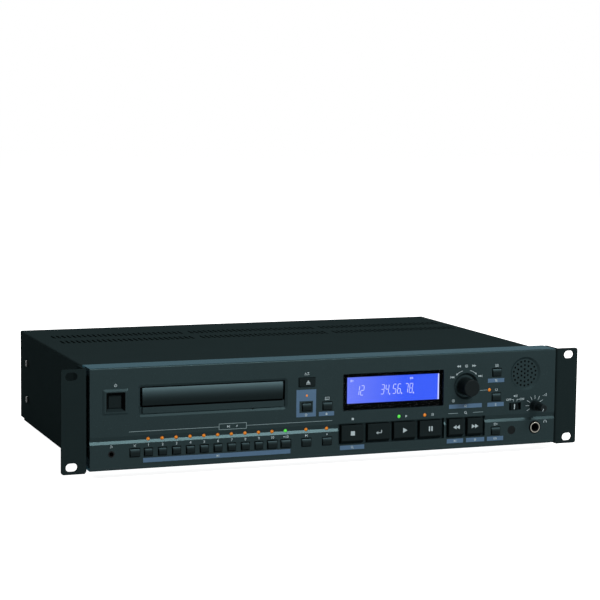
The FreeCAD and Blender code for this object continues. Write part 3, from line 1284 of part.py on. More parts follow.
def xlr_socket(x):
    """Round socket with three pins in its cavity."""
    flange = round_block(x, XLR_HEIGHT, XLR_FLANGE, 2.0, CASE_DEPTH, CASE_DEPTH + REAR_FLANGE)
    collar = rod_y(x, XLR_HEIGHT, XLR_RADIUS, CASE_DEPTH, CASE_DEPTH + XLR_PROUD)
    body = rod_y(x, XLR_HEIGHT, XLR_RADIUS - 0.5, CASE_DEPTH - XLR_BODY, CASE_DEPTH)
    floor_depth = CASE_DEPTH + XLR_PROUD - XLR_CAVITY
    cavity = rod_y(x, XLR_HEIGHT, XLR_CAVITY_RADIUS, floor_depth, CASE_DEPTH + XLR_PROUD + 1)
    socket = fused([flange, collar, body]).cut(cavity)
    pins = []
    for index in range(3):
        angle = math.pi / 2 + 2 * math.pi * index / 3
        pin_x = x + XLR_PIN_CIRCLE * math.cos(angle)
        height = XLR_HEIGHT + XLR_PIN_CIRCLE * math.sin(angle)
        pins.append(rod_y(pin_x, height, XLR_PIN_RADIUS, floor_depth - 1, CASE_DEPTH + XLR_PROUD - 2.5))
    return fused([socket] + pins)


def phono_pair():
    """Two round sleeves on one moulded plate."""
    middle = PHONO_HEIGHT + PHONO_SPACING / 2
    parts = [centred_block(PHONO_X, middle, PHONO_PLATE, CASE_DEPTH, CASE_DEPTH + REAR_FLANGE)]
    bores = []
    for height in phono_heights():
        parts.append(rod_y(PHONO_X, height, PHONO_SLEEVE_RADIUS + 1.0, REAR_PANEL_DEPTH - 6, CASE_DEPTH))
        parts.append(rod_y(PHONO_X, height, PHONO_SLEEVE_RADIUS, CASE_DEPTH, CASE_DEPTH + PHONO_PROUD))
        collar_end = CASE_DEPTH + REAR_FLANGE + 1
        parts.append(rod_y(PHONO_X, height, PHONO_SLEEVE_RADIUS + 1.2, CASE_DEPTH, collar_end))
        bores.append(rod_y(PHONO_X, height, PHONO_BORE, CASE_DEPTH - 2, CASE_DEPTH + PHONO_PROUD + 1))
    return fused(parts).cut(bores)


def data_socket():
    """Flat socket with two rows of contact holes."""
    flange = round_block(DATA_X, DATA_HEIGHT, DATA_FLANGE, 1.5, CASE_DEPTH, CASE_DEPTH + 1.0)
    shell = round_block(DATA_X, DATA_HEIGHT, DATA_SHELL, 2.5, REAR_PANEL_DEPTH - 8, CASE_DEPTH + DATA_PROUD)
    holes = []
    for row, count in ((1, DATA_HOLES), (-1, DATA_HOLES - 1)):
        for index in range(count):
            x = DATA_X + (index - (count - 1) / 2) * DATA_HOLE_PITCH
            height = DATA_HEIGHT + row * 1.42
            holes.append(rod_y(x, height, 0.6, CASE_DEPTH, CASE_DEPTH + DATA_PROUD + 1))
    return fused([flange, shell]).cut(holes)


def rear_sockets():
    shapes = [xlr_socket(x) for x in xlr_places()]
    shapes.append(phono_pair())
    shapes.append(data_socket())
    return Part.makeCompound(shapes)


def mains_inlet():
    """Inlet with a flange, a deep cavity and three blades."""
    flange = round_block(INLET_X, INLET_HEIGHT, INLET_FLANGE, 3.0, CASE_DEPTH, CASE_DEPTH + REAR_FLANGE + 1)
    floor_depth = CASE_DEPTH + REAR_FLANGE + 1 - INLET_CAVITY_DEPTH
    body = centred_block(INLET_X, INLET_HEIGHT, inlet_body_size(0), floor_depth - 3, CASE_DEPTH)
    cavity = round_block(INLET_X, INLET_HEIGHT, INLET_CAVITY, 3.0, floor_depth, CASE_DEPTH + REAR_FLANGE + 2)
    inlet = fused([flange, body]).cut(cavity)
    blades = []
    for side in (-1, 0, 1):
        x = INLET_X + side * INLET_BLADE_SPACING
        height = INLET_HEIGHT + (2.0 if side == 0 else -2.0)
        blades.append(centred_block(x, height, INLET_BLADE, floor_depth - 1, CASE_DEPTH - 1))
    return fused([inlet] + blades)


def screw_z_up(length):
    """Screw along +Z with its head's underside at the origin."""
    head = Part.makeCylinder(SCREW_HEAD_RADIUS, SCREW_HEAD, FreeCAD.Vector(0, 0, -SCREW_HEAD))
    rim = [edge for edge in head.Edges if edge.BoundBox.ZMax < -SCREW_HEAD + 0.01]
    head = head.makeFillet(SCREW_HEAD * 0.4, rim)
    shank = Part.makeCylinder(SCREW_RADIUS, length)
    reach = SCREW_HEAD_RADIUS * 0.6
    arms = []
    for wide, long in ((SCREW_CROSS, 2 * reach), (2 * reach, SCREW_CROSS)):
        corner = FreeCAD.Vector(-wide / 2, -long / 2, -SCREW_HEAD - 1)
        arms.append(Part.makeBox(wide, long, 2.0, corner))
    return head.fuse(shank).cut(arms)


def placed_screw(direction, position, length=SCREW_LENGTH):
    screw = screw_z_up(length)
    turn = FreeCAD.Rotation(FreeCAD.Vector(0, 0, 1), direction)
    screw.Placement = FreeCAD.Placement(position, turn)
    return screw


def case_screws():
    screws = []
    for x, depth, height in side_screws():
        for side in (-1, 1):
            place = FreeCAD.Vector(side * x, back(depth), up(height))
            screws.append(placed_screw(FreeCAD.Vector(-side, 0, 0), place))
    for x, height in rear_screws():
        place = FreeCAD.Vector(x, back(CASE_DEPTH), up(height))
        screws.append(placed_screw(FreeCAD.Vector(0, -1, 0), place, REAR_SCREW_LENGTH))
    for x, depth in foot_places():
        place = FreeCAD.Vector(x, back(depth), up(CHASSIS_BOTTOM - FOOT_HEIGHT + FOOT_RECESS))
        screw = placed_screw(FreeCAD.Vector(0, 0, 1), place)
        screws.append(screw)
    return Part.makeCompound(screws)


def feet():
    shapes = []
    bottom = CHASSIS_BOTTOM - FOOT_HEIGHT
    for x, depth in foot_places():
        foot = cone_z(x, depth, FOOT_RADIUS - 1.0, FOOT_RADIUS, bottom, CHASSIS_BOTTOM)
        rim = [e for e in foot.Edges if e.BoundBox.ZMax < up(bottom) + 0.01]
        foot = foot.makeFillet(1.0, rim)
        recess = rod_z(x, depth, FOOT_RECESS_RADIUS, bottom - 1, bottom + FOOT_RECESS)
        hole = rod_z(x, depth, SCREW_RADIUS + HOLE_EASE, bottom, CHASSIS_BOTTOM + 1)
        shapes.append(foot.cut([recess, hole]))
    return Part.makeCompound(shapes)


def tray_door():
    """Glossy door with a slight crown from top to bottom."""
    centre = DOOR_BOTTOM + DOOR_HEIGHT / 2
    half = DOOR_HEIGHT / 2
    x0 = TRAY_X - DOOR_WIDTH / 2
    crown = DOOR_SINK + DOOR_CROWN
    low = FreeCAD.Vector(x0, back(crown), up(centre - half))
    mid = FreeCAD.Vector(x0, back(DOOR_SINK), up(centre))
    high = FreeCAD.Vector(x0, back(crown), up(centre + half))
    rear_low = FreeCAD.Vector(x0, back(TRAY_FRONT_DEPTH), up(centre - half))
    rear_high = FreeCAD.Vector(x0, back(TRAY_FRONT_DEPTH), up(centre + half))
    edges = [
        Part.Arc(low, mid, high).toShape(),
        Part.LineSegment(high, rear_high).toShape(),
        Part.LineSegment(rear_high, rear_low).toShape(),
        Part.LineSegment(rear_low, low).toShape(),
    ]
    return Part.Face(Part.Wire(edges)).extrude(FreeCAD.Vector(DOOR_WIDTH, 0, 0))


def rack_teeth():
    """Toothed rack on the underside of the tray, facing the gear."""
    pitch = math.pi * TOOTH_MODULE
    root_x = TRAY_X + RACK_BACK_X + RACK_WEB
    tip_x = TRAY_X + RACK_PITCH_X + TOOTH_MODULE
    slope = math.tan(math.radians(20))
    half_pitch_line = TOOTH_SHARE * pitch / 2
    half_root = half_pitch_line + 1.25 * TOOTH_MODULE * slope
    half_tip = half_pitch_line - TOOTH_MODULE * slope
    start = TRAY_FRONT_DEPTH + 4
    end = TRAY_FRONT_DEPTH + TRAY_LENGTH - 2
    first = math.ceil((start + half_root - GEAR_DEPTH) / pitch - 0.5)
    last = math.floor((end - half_root - GEAR_DEPTH) / pitch - 0.5)
    outline = [(TRAY_X + RACK_BACK_X, start), (root_x, start)]
    for index in range(first, last + 1):
        centre = GEAR_DEPTH + (index + 0.5) * pitch
        outline += [
            (root_x, centre - half_root), (tip_x, centre - half_tip),
            (tip_x, centre + half_tip), (root_x, centre + half_root),
        ]
    outline += [(root_x, end), (TRAY_X + RACK_BACK_X, end)]
    points = [FreeCAD.Vector(x, back(depth), up(TRAY_SKIRT_END)) for x, depth in outline]
    return extruded(points, FreeCAD.Vector(0, 0, TRAY_SKIRT))


def disc_tray():
    """Tray with wells for both disc sizes, a slot for the turntable and a toothed rack."""
    half = TRAY_WIDTH / 2
    front = TRAY_FRONT_DEPTH
    end = front + TRAY_LENGTH
    x0 = TRAY_X - half
    x1 = TRAY_X + half
    plate = block(x0, x1, front, end, TRAY_UNDER, TRAY_TOP)
    ends = [e for e in plate.Edges if e.BoundBox.ZLength > 1 and e.BoundBox.YMin > back(end) - 0.01]
    plate = plate.makeFillet(6.0, ends)
    centre = DISC_CENTRE_DEPTH
    cutters = [
        rod_z(TRAY_X, centre, DISC_WELL_RADIUS, TRAY_TOP - DISC_WELL, TRAY_TOP + 1),
        rod_z(TRAY_X, centre, SMALL_WELL_RADIUS, TRAY_TOP - SMALL_WELL, TRAY_TOP + 1),
        block(TRAY_X - TRAY_SLOT_WIDTH / 2, TRAY_X + TRAY_SLOT_WIDTH / 2, centre - TRAY_SLOT_FRONT,
              centre + TRAY_SLOT_BACK, TRAY_UNDER - 1, TRAY_TOP + 1),
    ]
    for side in (-1, 1):
        finger_x = TRAY_X + side * half * 0.62
        cutters.append(rod_z(finger_x, centre - DISC_WELL_RADIUS + 4, FINGER_RADIUS,
                             TRAY_TOP - SMALL_WELL, TRAY_TOP + 1))
    plate = plate.cut(cutters)
    skirts = []
    for sx in (x0, x1 - TRAY_SKIRT_WIDTH):
        skirts.append(block(sx, sx + TRAY_SKIRT_WIDTH, front, end - 8, TRAY_SKIRT_END, TRAY_UNDER))
    return fused([plate, rack_teeth()] + skirts)


def tray_gear():
    """Gear that drives the tray's rack, with the pulley below it."""
    top = TRAY_UNDER - RAIL_GAP
    bottom = top - GEAR_THICK
    slope = math.tan(math.radians(20))
    step = 2 * math.pi / GEAR_TEETH
    half_pitch = TOOTH_SHARE * math.pi * TOOTH_MODULE / 2
    tip_radius = PITCH_RADIUS + TOOTH_MODULE * 0.95
    root_radius = PITCH_RADIUS - TOOTH_MODULE * 1.25
    half_tip = half_pitch - TOOTH_MODULE * slope
    half_root = half_pitch + 0.6 * TOOTH_MODULE * slope
    points = []
    for index in range(GEAR_TEETH):
        angle = math.pi + index * step
        radial = (math.cos(angle), math.sin(angle))
        along = (-radial[1], radial[0])
        for radius, offset in ((root_radius, -half_root), (tip_radius, -half_tip),
                               (tip_radius, half_tip), (root_radius, half_root)):
            x = GEAR_X + radius * radial[0] + offset * along[0]
            y = back(GEAR_DEPTH) + radius * radial[1] + offset * along[1]
            points.append(FreeCAD.Vector(x, y, up(bottom)))
    toothed = extruded(points, FreeCAD.Vector(0, 0, GEAR_THICK))
    pulley = rod_z(GEAR_X, GEAR_DEPTH, GEAR_HUB_RADIUS, bottom - GEAR_HUB, bottom)
    bore = rod_z(GEAR_X, GEAR_DEPTH, GEAR_PIN_RADIUS + RUNNING_EASE, bottom - GEAR_HUB - 1, top + 1)
    return fused([toothed, pulley]).cut(bore)


def drive_chassis():
    """Drive case: floor, walls, tray rails, clamp bridge, gear post, lift guides and legs."""
    x0 = TRAY_X - DRIVE_HALF
    x1 = TRAY_X + DRIVE_HALF
    t = DRIVE_SHEET
    front = DRIVE_FRONT_DEPTH
    end = front + DRIVE_LENGTH
    parts = [
        block(x0, x1, front, end, DRIVE_BOTTOM, DRIVE_BOTTOM + t),
        block(x0, x0 + t, front, end, DRIVE_BOTTOM, DRIVE_TOP),
        block(x1 - t, x1, front, end, DRIVE_BOTTOM, DRIVE_TOP),
        block(x0, x1, end - t, end, DRIVE_BOTTOM, DRIVE_TOP),
    ]
    lower = TRAY_SKIRT_END - RAIL_GAP
    upper = TRAY_TOP + RAIL_GAP
    for base in (lower - RAIL_HEIGHT, upper):
        parts.append(block(x0, x0 + RAIL_REACH, front, end, base, base + RAIL_HEIGHT))
        parts.append(block(x1 - RAIL_REACH, x1, front, end, base, base + RAIL_HEIGHT))
    bridge_half = BRIDGE_LENGTH / 2
    parts.append(block(x0, x1, DISC_CENTRE_DEPTH - bridge_half, DISC_CENTRE_DEPTH + bridge_half,
                       BRIDGE_HEIGHT, BRIDGE_HEIGHT + t))
    pin_top = TRAY_UNDER - RAIL_GAP
    hub_bottom = pin_top - GEAR_THICK - GEAR_HUB
    parts.append(rod_z(GEAR_X, GEAR_DEPTH, GEAR_PIN_RADIUS * 2, DRIVE_BOTTOM, hub_bottom - RAIL_GAP))
    parts.append(rod_z(GEAR_X, GEAR_DEPTH, GEAR_PIN_RADIUS, DRIVE_BOTTOM, pin_top))
    for x, depth in lift_pin_places():
        guide_top = LIFT_FRAME_BOTTOM + LIFT_FRAME_SHEET + LIFT_TRAVEL + 1
        parts.append(rod_z(x, depth, LIFT_PIN_RADIUS, DRIVE_BOTTOM, guide_top))
    for side in (-1, 1):
        for depth in (front + DRIVE_LEG_INSET, end - DRIVE_LEG_INSET):
            x = TRAY_X + side * (DRIVE_HALF - DRIVE_LEG_INSET)
            parts.append(rod_z(x, depth, DRIVE_LEG_RADIUS, CHASSIS_FLOOR, DRIVE_BOTTOM + t))
    hole = rod_z(TRAY_X, DISC_CENTRE_DEPTH, CLAMP_HOLE_RADIUS, BRIDGE_HEIGHT - 1, BRIDGE_HEIGHT + t + 1)
    return fused(parts).cut(hole)


def lift_pin_places():
    x = LIFT_FRAME_WIDTH / 2 - 2 * LIFT_PIN_RADIUS
    depths = (DISC_CENTRE_DEPTH - LIFT_FRAME_FRONT + 5, DISC_CENTRE_DEPTH + LIFT_FRAME_BACK - 5)
    return [(TRAY_X + side * x, depth) for side in (-1, 1) for depth in depths]


def lift_frame():
    """Frame with the spindle bearing, two guide rods and holes for the lift guides."""
    half = LIFT_FRAME_WIDTH / 2
    low = LIFT_FRAME_BOTTOM
    t = LIFT_FRAME_SHEET
    front = DISC_CENTRE_DEPTH - LIFT_FRAME_FRONT
    end = DISC_CENTRE_DEPTH + LIFT_FRAME_BACK
    plate = block(TRAY_X - half, TRAY_X + half, front, end, low, low + t)
    rods = rod_heights()
    window_front = DISC_CENTRE_DEPTH + SLED_START - SLED_SIZE[1] / 2 - 2
    window_end = window_front + SLED_SIZE[1] + SLED_TRAVEL + 4
    window_half = ROD_SPACING / 2 - ROD_RADIUS - 2
    window = block(TRAY_X - window_half, TRAY_X + window_half, window_front, window_end, low - 1, low + t + 1)
    parts = []
    for side in (-1, 1):
        x = TRAY_X + side * ROD_SPACING / 2
        parts.append(rod_y(x, rods, ROD_RADIUS, window_front - 2, window_end + 2))
        for depth in (window_front - 2, window_end):
            parts.append(block(x - 2.5, x + 2.5, depth, depth + 2, low, rods + ROD_RADIUS + 0.6))
    parts.append(rod_z(TRAY_X, DISC_CENTRE_DEPTH, 5.0, low, low + t + 1.2))
    frame = fused([plate.cut(window)] + parts)
    holes = [rod_z(TRAY_X, DISC_CENTRE_DEPTH, SPINDLE_RADIUS + RUNNING_EASE, low - 1, low + 10)]
    for x, depth in lift_pin_places():
        holes.append(rod_z(x, depth, LIFT_PIN_RADIUS + RUNNING_EASE, low - 1, low + t + 1))
    return frame.cut(holes)


def rod_heights():
    return LIFT_FRAME_BOTTOM + LIFT_FRAME_SHEET + ROD_RADIUS + 0.4


def turntable():
    """Rotor, disc seat and centring hub on the spindle."""
    low = LIFT_FRAME_BOTTOM + LIFT_FRAME_SHEET + 1.2 + REST_GAP
    seat = TURNTABLE_SEAT
    x = TRAY_X
    depth = DISC_CENTRE_DEPTH
    parts = [
        rod_z(x, depth, SPINDLE_RADIUS, LIFT_FRAME_BOTTOM, seat),
        rod_z(x, depth, ROTOR_RADIUS, low, seat - TURNTABLE_THICK),
        rod_z(x, depth, TURNTABLE_RADIUS, seat - TURNTABLE_THICK, seat),
        cone_z(x, depth, HUB_RADIUS, HUB_RADIUS - 2.0, seat, seat + HUB_HEIGHT),
    ]
    return fused(parts)


def pickup_sled():
    """Sled that slides on the two rods and carries the lens."""
    width, length = SLED_SIZE
    rods = rod_heights()
    depth = DISC_CENTRE_DEPTH + SLED_START
    low = rods - SLED_THICK / 2
    high = rods + SLED_THICK / 2
    half_block = LENS_BLOCK / 2
    body = block(TRAY_X - width / 2, TRAY_X + width / 2, depth - length / 2, depth + length / 2, low, high)
    holder = block(TRAY_X - half_block, TRAY_X + half_block, depth - half_block, depth + half_block,
                   high, LENS_TOP - 1)
    lens = rod_z(TRAY_X, depth, LENS_RADIUS, high, LENS_TOP)
    sled = fused([body, holder, lens])
    bores = []
    for side in (-1, 1):
        x = TRAY_X + side * ROD_SPACING / 2
        bores.append(rod_y(x, rods, ROD_RADIUS + RUNNING_EASE, depth - length, depth + length))
    return sled.cut(bores)


def disc_clamper():
    """Magnetic puck that hangs in the bridge's hole."""
    x = TRAY_X
    depth = DISC_CENTRE_DEPTH
    bridge_top = BRIDGE_HEIGHT + DRIVE_SHEET
    neck = CLAMP_HOLE_RADIUS - 0.6
    parts = [
        rod_z(x, depth, CLAMP_RADIUS, CLAMP_BOTTOM, BRIDGE_HEIGHT - 1.2),
        rod_z(x, depth, neck, CLAMP_BOTTOM, bridge_top + 2.0),
        rod_z(x, depth, CLAMP_RADIUS - 1.0, bridge_top + RAIL_GAP, bridge_top + 2.0),
    ]
    puck = fused(parts)
    return puck.cut(rod_z(x, depth, HUB_RADIUS, CLAMP_BOTTOM - 1, CLAMP_BOTTOM + 2.0))


def on_board(x, depth, size, base):
    """Block on a board: width, length and height from its front left corner."""
    width, length, tall = size
    return block(x, x + width, depth, depth + length, base, base + tall)


def main_board():
    low = CHASSIS_FLOOR + STANDOFF_HEIGHT
    width, length = MAIN_BOARD
    front = BOARD_BACK_DEPTH - length
    top = low + BOARD_SHEET
    parts = [on_board(MAIN_BOARD_X - width / 2, front, (width, length, BOARD_SHEET), low)]
    for row in range(CHIP_COUNT):
        depth = front + CHIP_FIRST + row * CHIP_PITCH
        parts.append(on_board(MAIN_BOARD_X - CHIP / 2, depth, (CHIP, CHIP, CHIP_THICK), top))
        parts.append(rod_z(MAIN_BOARD_X + CAN_SHIFT, depth + CAN_LEAD, CAN_RADIUS, top, top + CAN_HEIGHT))
        small_top = top + SMALL_CAN_HEIGHT
        small_depth = depth + SMALL_CAN_LEAD
        parts.append(rod_z(MAIN_BOARD_X - CAN_SHIFT, small_depth, SMALL_CAN_RADIUS, top, small_top))
    return fused(parts)


def power_supply():
    low = CHASSIS_FLOOR + STANDOFF_HEIGHT
    width, length = SUPPLY_BOARD
    front = BOARD_BACK_DEPTH - length
    top = low + BOARD_SHEET
    parts = [
        on_board(SUPPLY_X - width / 2, front, (width, length, BOARD_SHEET), low),
        on_board(SUPPLY_X - TRANSFORMER[0] / 2, front + TRANSFORMER_LEAD, TRANSFORMER, top),
        on_board(SUPPLY_X - HEATSINK_SHIFT - HEATSINK[0] / 2, front + HEATSINK_LEAD, HEATSINK, top),
    ]
    for index in range(CHIP_COUNT):
        depth = front + SUPPLY_CAN_LEAD + index * SUPPLY_CAN_PITCH
        can_top = top + SUPPLY_CAN_HEIGHT
        parts.append(rod_z(SUPPLY_X + SUPPLY_CAN_SHIFT, depth, SUPPLY_CAN_RADIUS, top, can_top))
    return fused(parts)


def nodes():
    amber, green = lamp_places()
    right_ear = rack_ear()
    table = {
        "front_panel": front_panel(),
        "top_cover": top_cover(),
        "bottom_chassis": bottom_chassis(),
        "rear_panel": rear_panel(),
        "rack_ear_right": right_ear,
        "rack_ear_left": mirrored_x(right_ear),
        "feet": feet(),
        "case_screws": case_screws(),
        "power_button": power_button(),
        "amber_lamps": lamps(amber),
        "green_lamps": lamps(green),
        "display_window": display_window(),
        "display_module": display_module(),
        "track_slider": track_slider(),
        "track_knob": track_knob(),
        "level_knob": level_knob(),
        "speaker_switch": speaker_switch(),
        "speaker": speaker(),
        "phones_jack": phones_jack(),
        "remote_jack": remote_jack(),
        "remote_sensor": remote_sensor(),
        "front_board": front_board(),
        "main_board": main_board(),
        "power_supply": power_supply(),
        "mains_inlet": mains_inlet(),
        "rear_sockets": rear_sockets(),
        "tray_door": tray_door(),
        "disc_tray": disc_tray(),
        "tray_gear": tray_gear(),
        "drive_chassis": drive_chassis(),
        "lift_frame": lift_frame(),
        "turntable": turntable(),
        "pickup_sled": pickup_sled(),
        "disc_clamper": disc_clamper(),
    }
    for name, x, height, hole in small_keys():
        table[name] = small_key(x, height, hole)
    for name, x, width in big_keys():
        table[name] = big_key(x, width)
    return table


os.makedirs("parts", exist_ok=True)
for name, shape in nodes().items():
    shape.exportStep(f"parts/{name}.step")
    print(name, "solids", len(shape.Solids), "valid", shape.isValid(), "volume", round(shape.Volume, 1))
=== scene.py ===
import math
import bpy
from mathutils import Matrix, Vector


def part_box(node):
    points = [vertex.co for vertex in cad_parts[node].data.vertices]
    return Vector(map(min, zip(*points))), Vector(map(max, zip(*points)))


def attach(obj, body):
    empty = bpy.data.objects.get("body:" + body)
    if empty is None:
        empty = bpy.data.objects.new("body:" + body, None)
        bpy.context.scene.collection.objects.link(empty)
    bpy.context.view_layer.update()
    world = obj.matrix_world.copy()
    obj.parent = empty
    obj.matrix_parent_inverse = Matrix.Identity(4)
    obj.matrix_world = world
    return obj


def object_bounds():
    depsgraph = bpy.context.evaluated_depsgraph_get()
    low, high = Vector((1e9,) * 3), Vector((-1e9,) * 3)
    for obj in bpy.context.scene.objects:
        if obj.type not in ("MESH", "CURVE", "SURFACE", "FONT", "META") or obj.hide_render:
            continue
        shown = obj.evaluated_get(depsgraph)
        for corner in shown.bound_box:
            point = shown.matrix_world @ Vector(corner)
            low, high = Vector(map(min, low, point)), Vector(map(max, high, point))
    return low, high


bl_info = {
    "name": "Rack Disc Player",
    "version": (1, 0, 0),
    "blender": (4, 5, 0),
    "location": "View3D > Sidebar > Disc Player",
    "description": "Finishes, markings, display and studio for a rack-mount disc player",
    "category": "Object",
}

import bmesh
import bpy
from bpy.props import FloatProperty, FloatVectorProperty, PointerProperty
from mathutils import Matrix, Vector
from mathutils.bvhtree import BVHTree

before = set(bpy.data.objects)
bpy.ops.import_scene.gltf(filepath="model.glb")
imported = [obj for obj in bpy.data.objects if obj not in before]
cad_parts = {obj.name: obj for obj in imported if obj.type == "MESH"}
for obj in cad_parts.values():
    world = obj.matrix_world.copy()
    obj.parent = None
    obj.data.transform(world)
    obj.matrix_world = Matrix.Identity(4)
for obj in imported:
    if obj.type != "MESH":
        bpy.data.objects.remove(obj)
CAD_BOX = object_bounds()

# Places are given as on the front: X to the right, height above the ears' lower edge,
# depth behind the front panel's face, all in millimetres.
MM = 0.001
POWER_FRAME_HEIGHT = 1.2
FACE_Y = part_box("front_panel")[0].y + POWER_FRAME_HEIGHT * MM
BASE_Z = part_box("rack_ear_left")[0].z
FLOOR_Z = CAD_BOX[0][2]
# Ink reaches this far into the face under it, so that no gap shows at its edge.
INK_BACK = 0.02
LACQUER_TINT = "aedcf0"
NUMBER_KEYS = [f"number_key_{n}" for n in range(1, 11)] + ["number_key_over_10"]
TRANSPORT_KEYS = ["stop_key", "call_key", "play_key", "pause_key", "search_back_key", "search_forward_key"]
SMALL_KEYS = [
    "clear_key", "cue_key", "flash_key", "shift_key", "display_key", "menu_key", "jog_key", "play_mode_key",
]
OTHER_KEYS = ["open_close_key", "power_button", "speaker_switch"]


def linear(code):
    """Linear RGBA of an sRGB hex colour such as "2b3739"."""
    parts = [int(code[i:i + 2], 16) / 255 for i in (0, 2, 4)]
    return tuple(c / 12.92 if c <= 0.04045 else ((c + 0.055) / 1.055) ** 2.4 for c in parts) + (1.0,)


def place(x, height, depth=0.0):
    """Point in the scene, in metres, of a place on the front."""
    return Vector((x * MM, FACE_Y + depth * MM, BASE_Z + height * MM))


def centre_of(node):
    """X and height of a node's centre, and the depth of its front."""
    low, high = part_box(node)
    middle = (low + high) / 2
    return middle.x / MM, (middle.z - BASE_Z) / MM, (low.y - FACE_Y) / MM


def edges_of(node, inset):
    """Left, right, bottom and top of a node, moved inwards by an inset."""
    low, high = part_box(node)
    return (low.x / MM + inset, high.x / MM - inset,
            (low.z - BASE_Z) / MM + inset, (high.z - BASE_Z) / MM - inset)


def colour_prop(name, description, code):
    return FloatVectorProperty(name=name, description=description, subtype="COLOR", size=4,
                               min=0.0, max=1.0, default=linear(code))


def length_prop(name, description, default):
    return FloatProperty(name=name, description=description + ", in millimetres", default=default, min=0.0)


class FinishColours(bpy.types.PropertyGroup):
    panel: colour_prop("Panel", "Sprayed front panel", "283537")
    keys: colour_prop("Keys", "Moulded key caps", "1b2324")
    cover: colour_prop("Cover", "Powder-coated cover", "232e2f")
    ears: colour_prop("Ears", "Powder-coated rack ears", "1c2627")
    strips: colour_prop("Strips", "Blue printed strips", "425f79")
    marks: colour_prop("Marks", "Pale printed marks", "a4b4b8")
    rules: colour_prop("Ruled lines", "Grey printed lines", "7b8e91")
    door: colour_prop("Door", "Sprayed tray door", "182021")
    amber: colour_prop("Amber lamps", "Amber lamp resin", "c8741e")
    green: colour_prop("Green lamps", "Green lamp resin", "5ae650")
    backlight: colour_prop("Backlight", "Display's backlight", "365afa")
    digits: colour_prop("Digits", "Display's digits", "b4bcfc")


class MarkSizes(bpy.types.PropertyGroup):
    line: length_prop("Line", "Width of the long printed lines", 0.4)
    stroke: length_prop("Stroke", "Width of a pictogram's strokes", 0.36)
    numeral: length_prop("Numeral", "Height of the printed numerals", 2.3)
    lift: length_prop("Lift", "Thickness of the ink", 0.05)


class DisplaySizes(bpy.types.PropertyGroup):
    digit_height: length_prop("Digit height", "Height of the display's digits", 8.3)
    digit_width: length_prop("Digit width", "Width of the display's digits", 2.8)
    segment: length_prop("Segment", "Width of a digit's segments", 0.5)


class StageSettings(bpy.types.PropertyGroup):
    world: FloatProperty(name="World", description="Strength of the even light", default=0.12, min=0.0)
    key: FloatProperty(name="Key lamp", description="Power of the large lamp above the front", default=55.0,
                       subtype="POWER", min=0.0)
    front: FloatProperty(name="Front lamp", description="Power of the low strip lamp in front", default=14.0,
                         subtype="POWER", min=0.0)
    rear: FloatProperty(name="Rear lamp", description="Power of the lamp behind", default=45.0,
                        subtype="POWER", min=0.0)
    lens: FloatProperty(name="Lens", description="Camera lens in millimetres", default=109.5, min=1.0)


def settings():
    """The scene's finish colours, mark sizes, display sizes and stage settings."""
    scene = bpy.context.scene
    return scene.player_finish, scene.player_marks, scene.player_display, scene.player_stage


def add(tree, kind, inputs=None, **values):
    """Adds a shader node, sets its values and fills or links its inputs."""
    node = tree.nodes.new("ShaderNode" + kind)
    for key, value in values.items():
        setattr(node, key, value)
    for key, value in (inputs or {}).items():
        if isinstance(value, bpy.types.NodeSocket):
            tree.links.new(value, node.inputs[key])
        else:
            node.inputs[key].default_value = value
    return node


def blank_material(name):
    """New material whose node tree is still empty."""
    material = bpy.data.materials.new(name)
    material.use_nodes = True
    material.node_tree.nodes.clear()
    return material


def finish(name, colour, roughness, grain=0.8, relief=0.01, tone=0.12, scuff=0.08, specular=0.5,
           top=None, steep=3.0, **shader):
    """Material with grain and relief in millimetres, and some unevenness in tone and gloss.

    A top colour grades it over the height of each piece, as painted light: a reflection on the door, a
    highlight on the caps; a steep grade stays near the top.
    """
    made = bpy.data.materials.get(name)
    if made:
        return made
    if isinstance(colour, str):
        colour = linear(colour)
    material = blank_material(name)
    tree = material.node_tree
    where = add(tree, "TexCoord")
    fine = add(tree, "TexNoise", {
        "Vector": where.outputs["Object"], "Scale": 1 / (grain * MM), "Detail": 2.0, "Roughness": 0.5})
    # The tone changes over blotches about thirty grains wide.
    broad = add(tree, "TexNoise", {
        "Vector": where.outputs["Object"], "Scale": 1 / (grain * 30 * MM), "Detail": 3.0, "Roughness": 0.6})
    darker = [c * (1 - tone) for c in colour[:3]] + [1.0]
    lighter = [min(1.0, c * (1 + tone)) for c in colour[:3]] + [1.0]
    tint = add(tree, "Mix", {"Factor": broad.outputs["Fac"], "A": darker, "B": lighter}, data_type="RGBA")
    if top:
        split = add(tree, "SeparateXYZ", {"Vector": where.outputs["Generated"]})
        painted_light_rise = add(tree, "Math", {0: split.outputs["Z"], 1: steep}, operation="POWER", use_clamp=True)
        tint = add(tree, "Mix", {
            "Factor": painted_light_rise.outputs[0], "A": tint.outputs["Result"], "B": linear(top)}, data_type="RGBA")
    gloss = add(tree, "MapRange", {
        "Value": fine.outputs["Fac"], "To Min": max(0.0, roughness - scuff),
        "To Max": min(1.0, roughness + scuff)})
    bump = add(tree, "Bump", {"Height": fine.outputs["Fac"], "Distance": relief * MM, "Strength": 0.6})
    inputs = {"Base Color": tint.outputs["Result"], "Roughness": gloss.outputs["Result"],
              "Normal": bump.outputs["Normal"], "Specular IOR Level": specular}
    for key, value in shader.items():
        inputs[key.replace("_", " ").title().replace("Ior", "IOR")] = value
    body = add(tree, "BsdfPrincipled", inputs)
    add(tree, "OutputMaterial", {"Surface": body.outputs["BSDF"]})
    return material


def dress(nodes, name, colour, roughness, **looks):
    """Gives CAD nodes one finish as their only material."""
    material = finish(name, colour, roughness, **looks)
    for node in nodes:
        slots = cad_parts[node].data.materials
        slots.clear()
        slots.append(material)


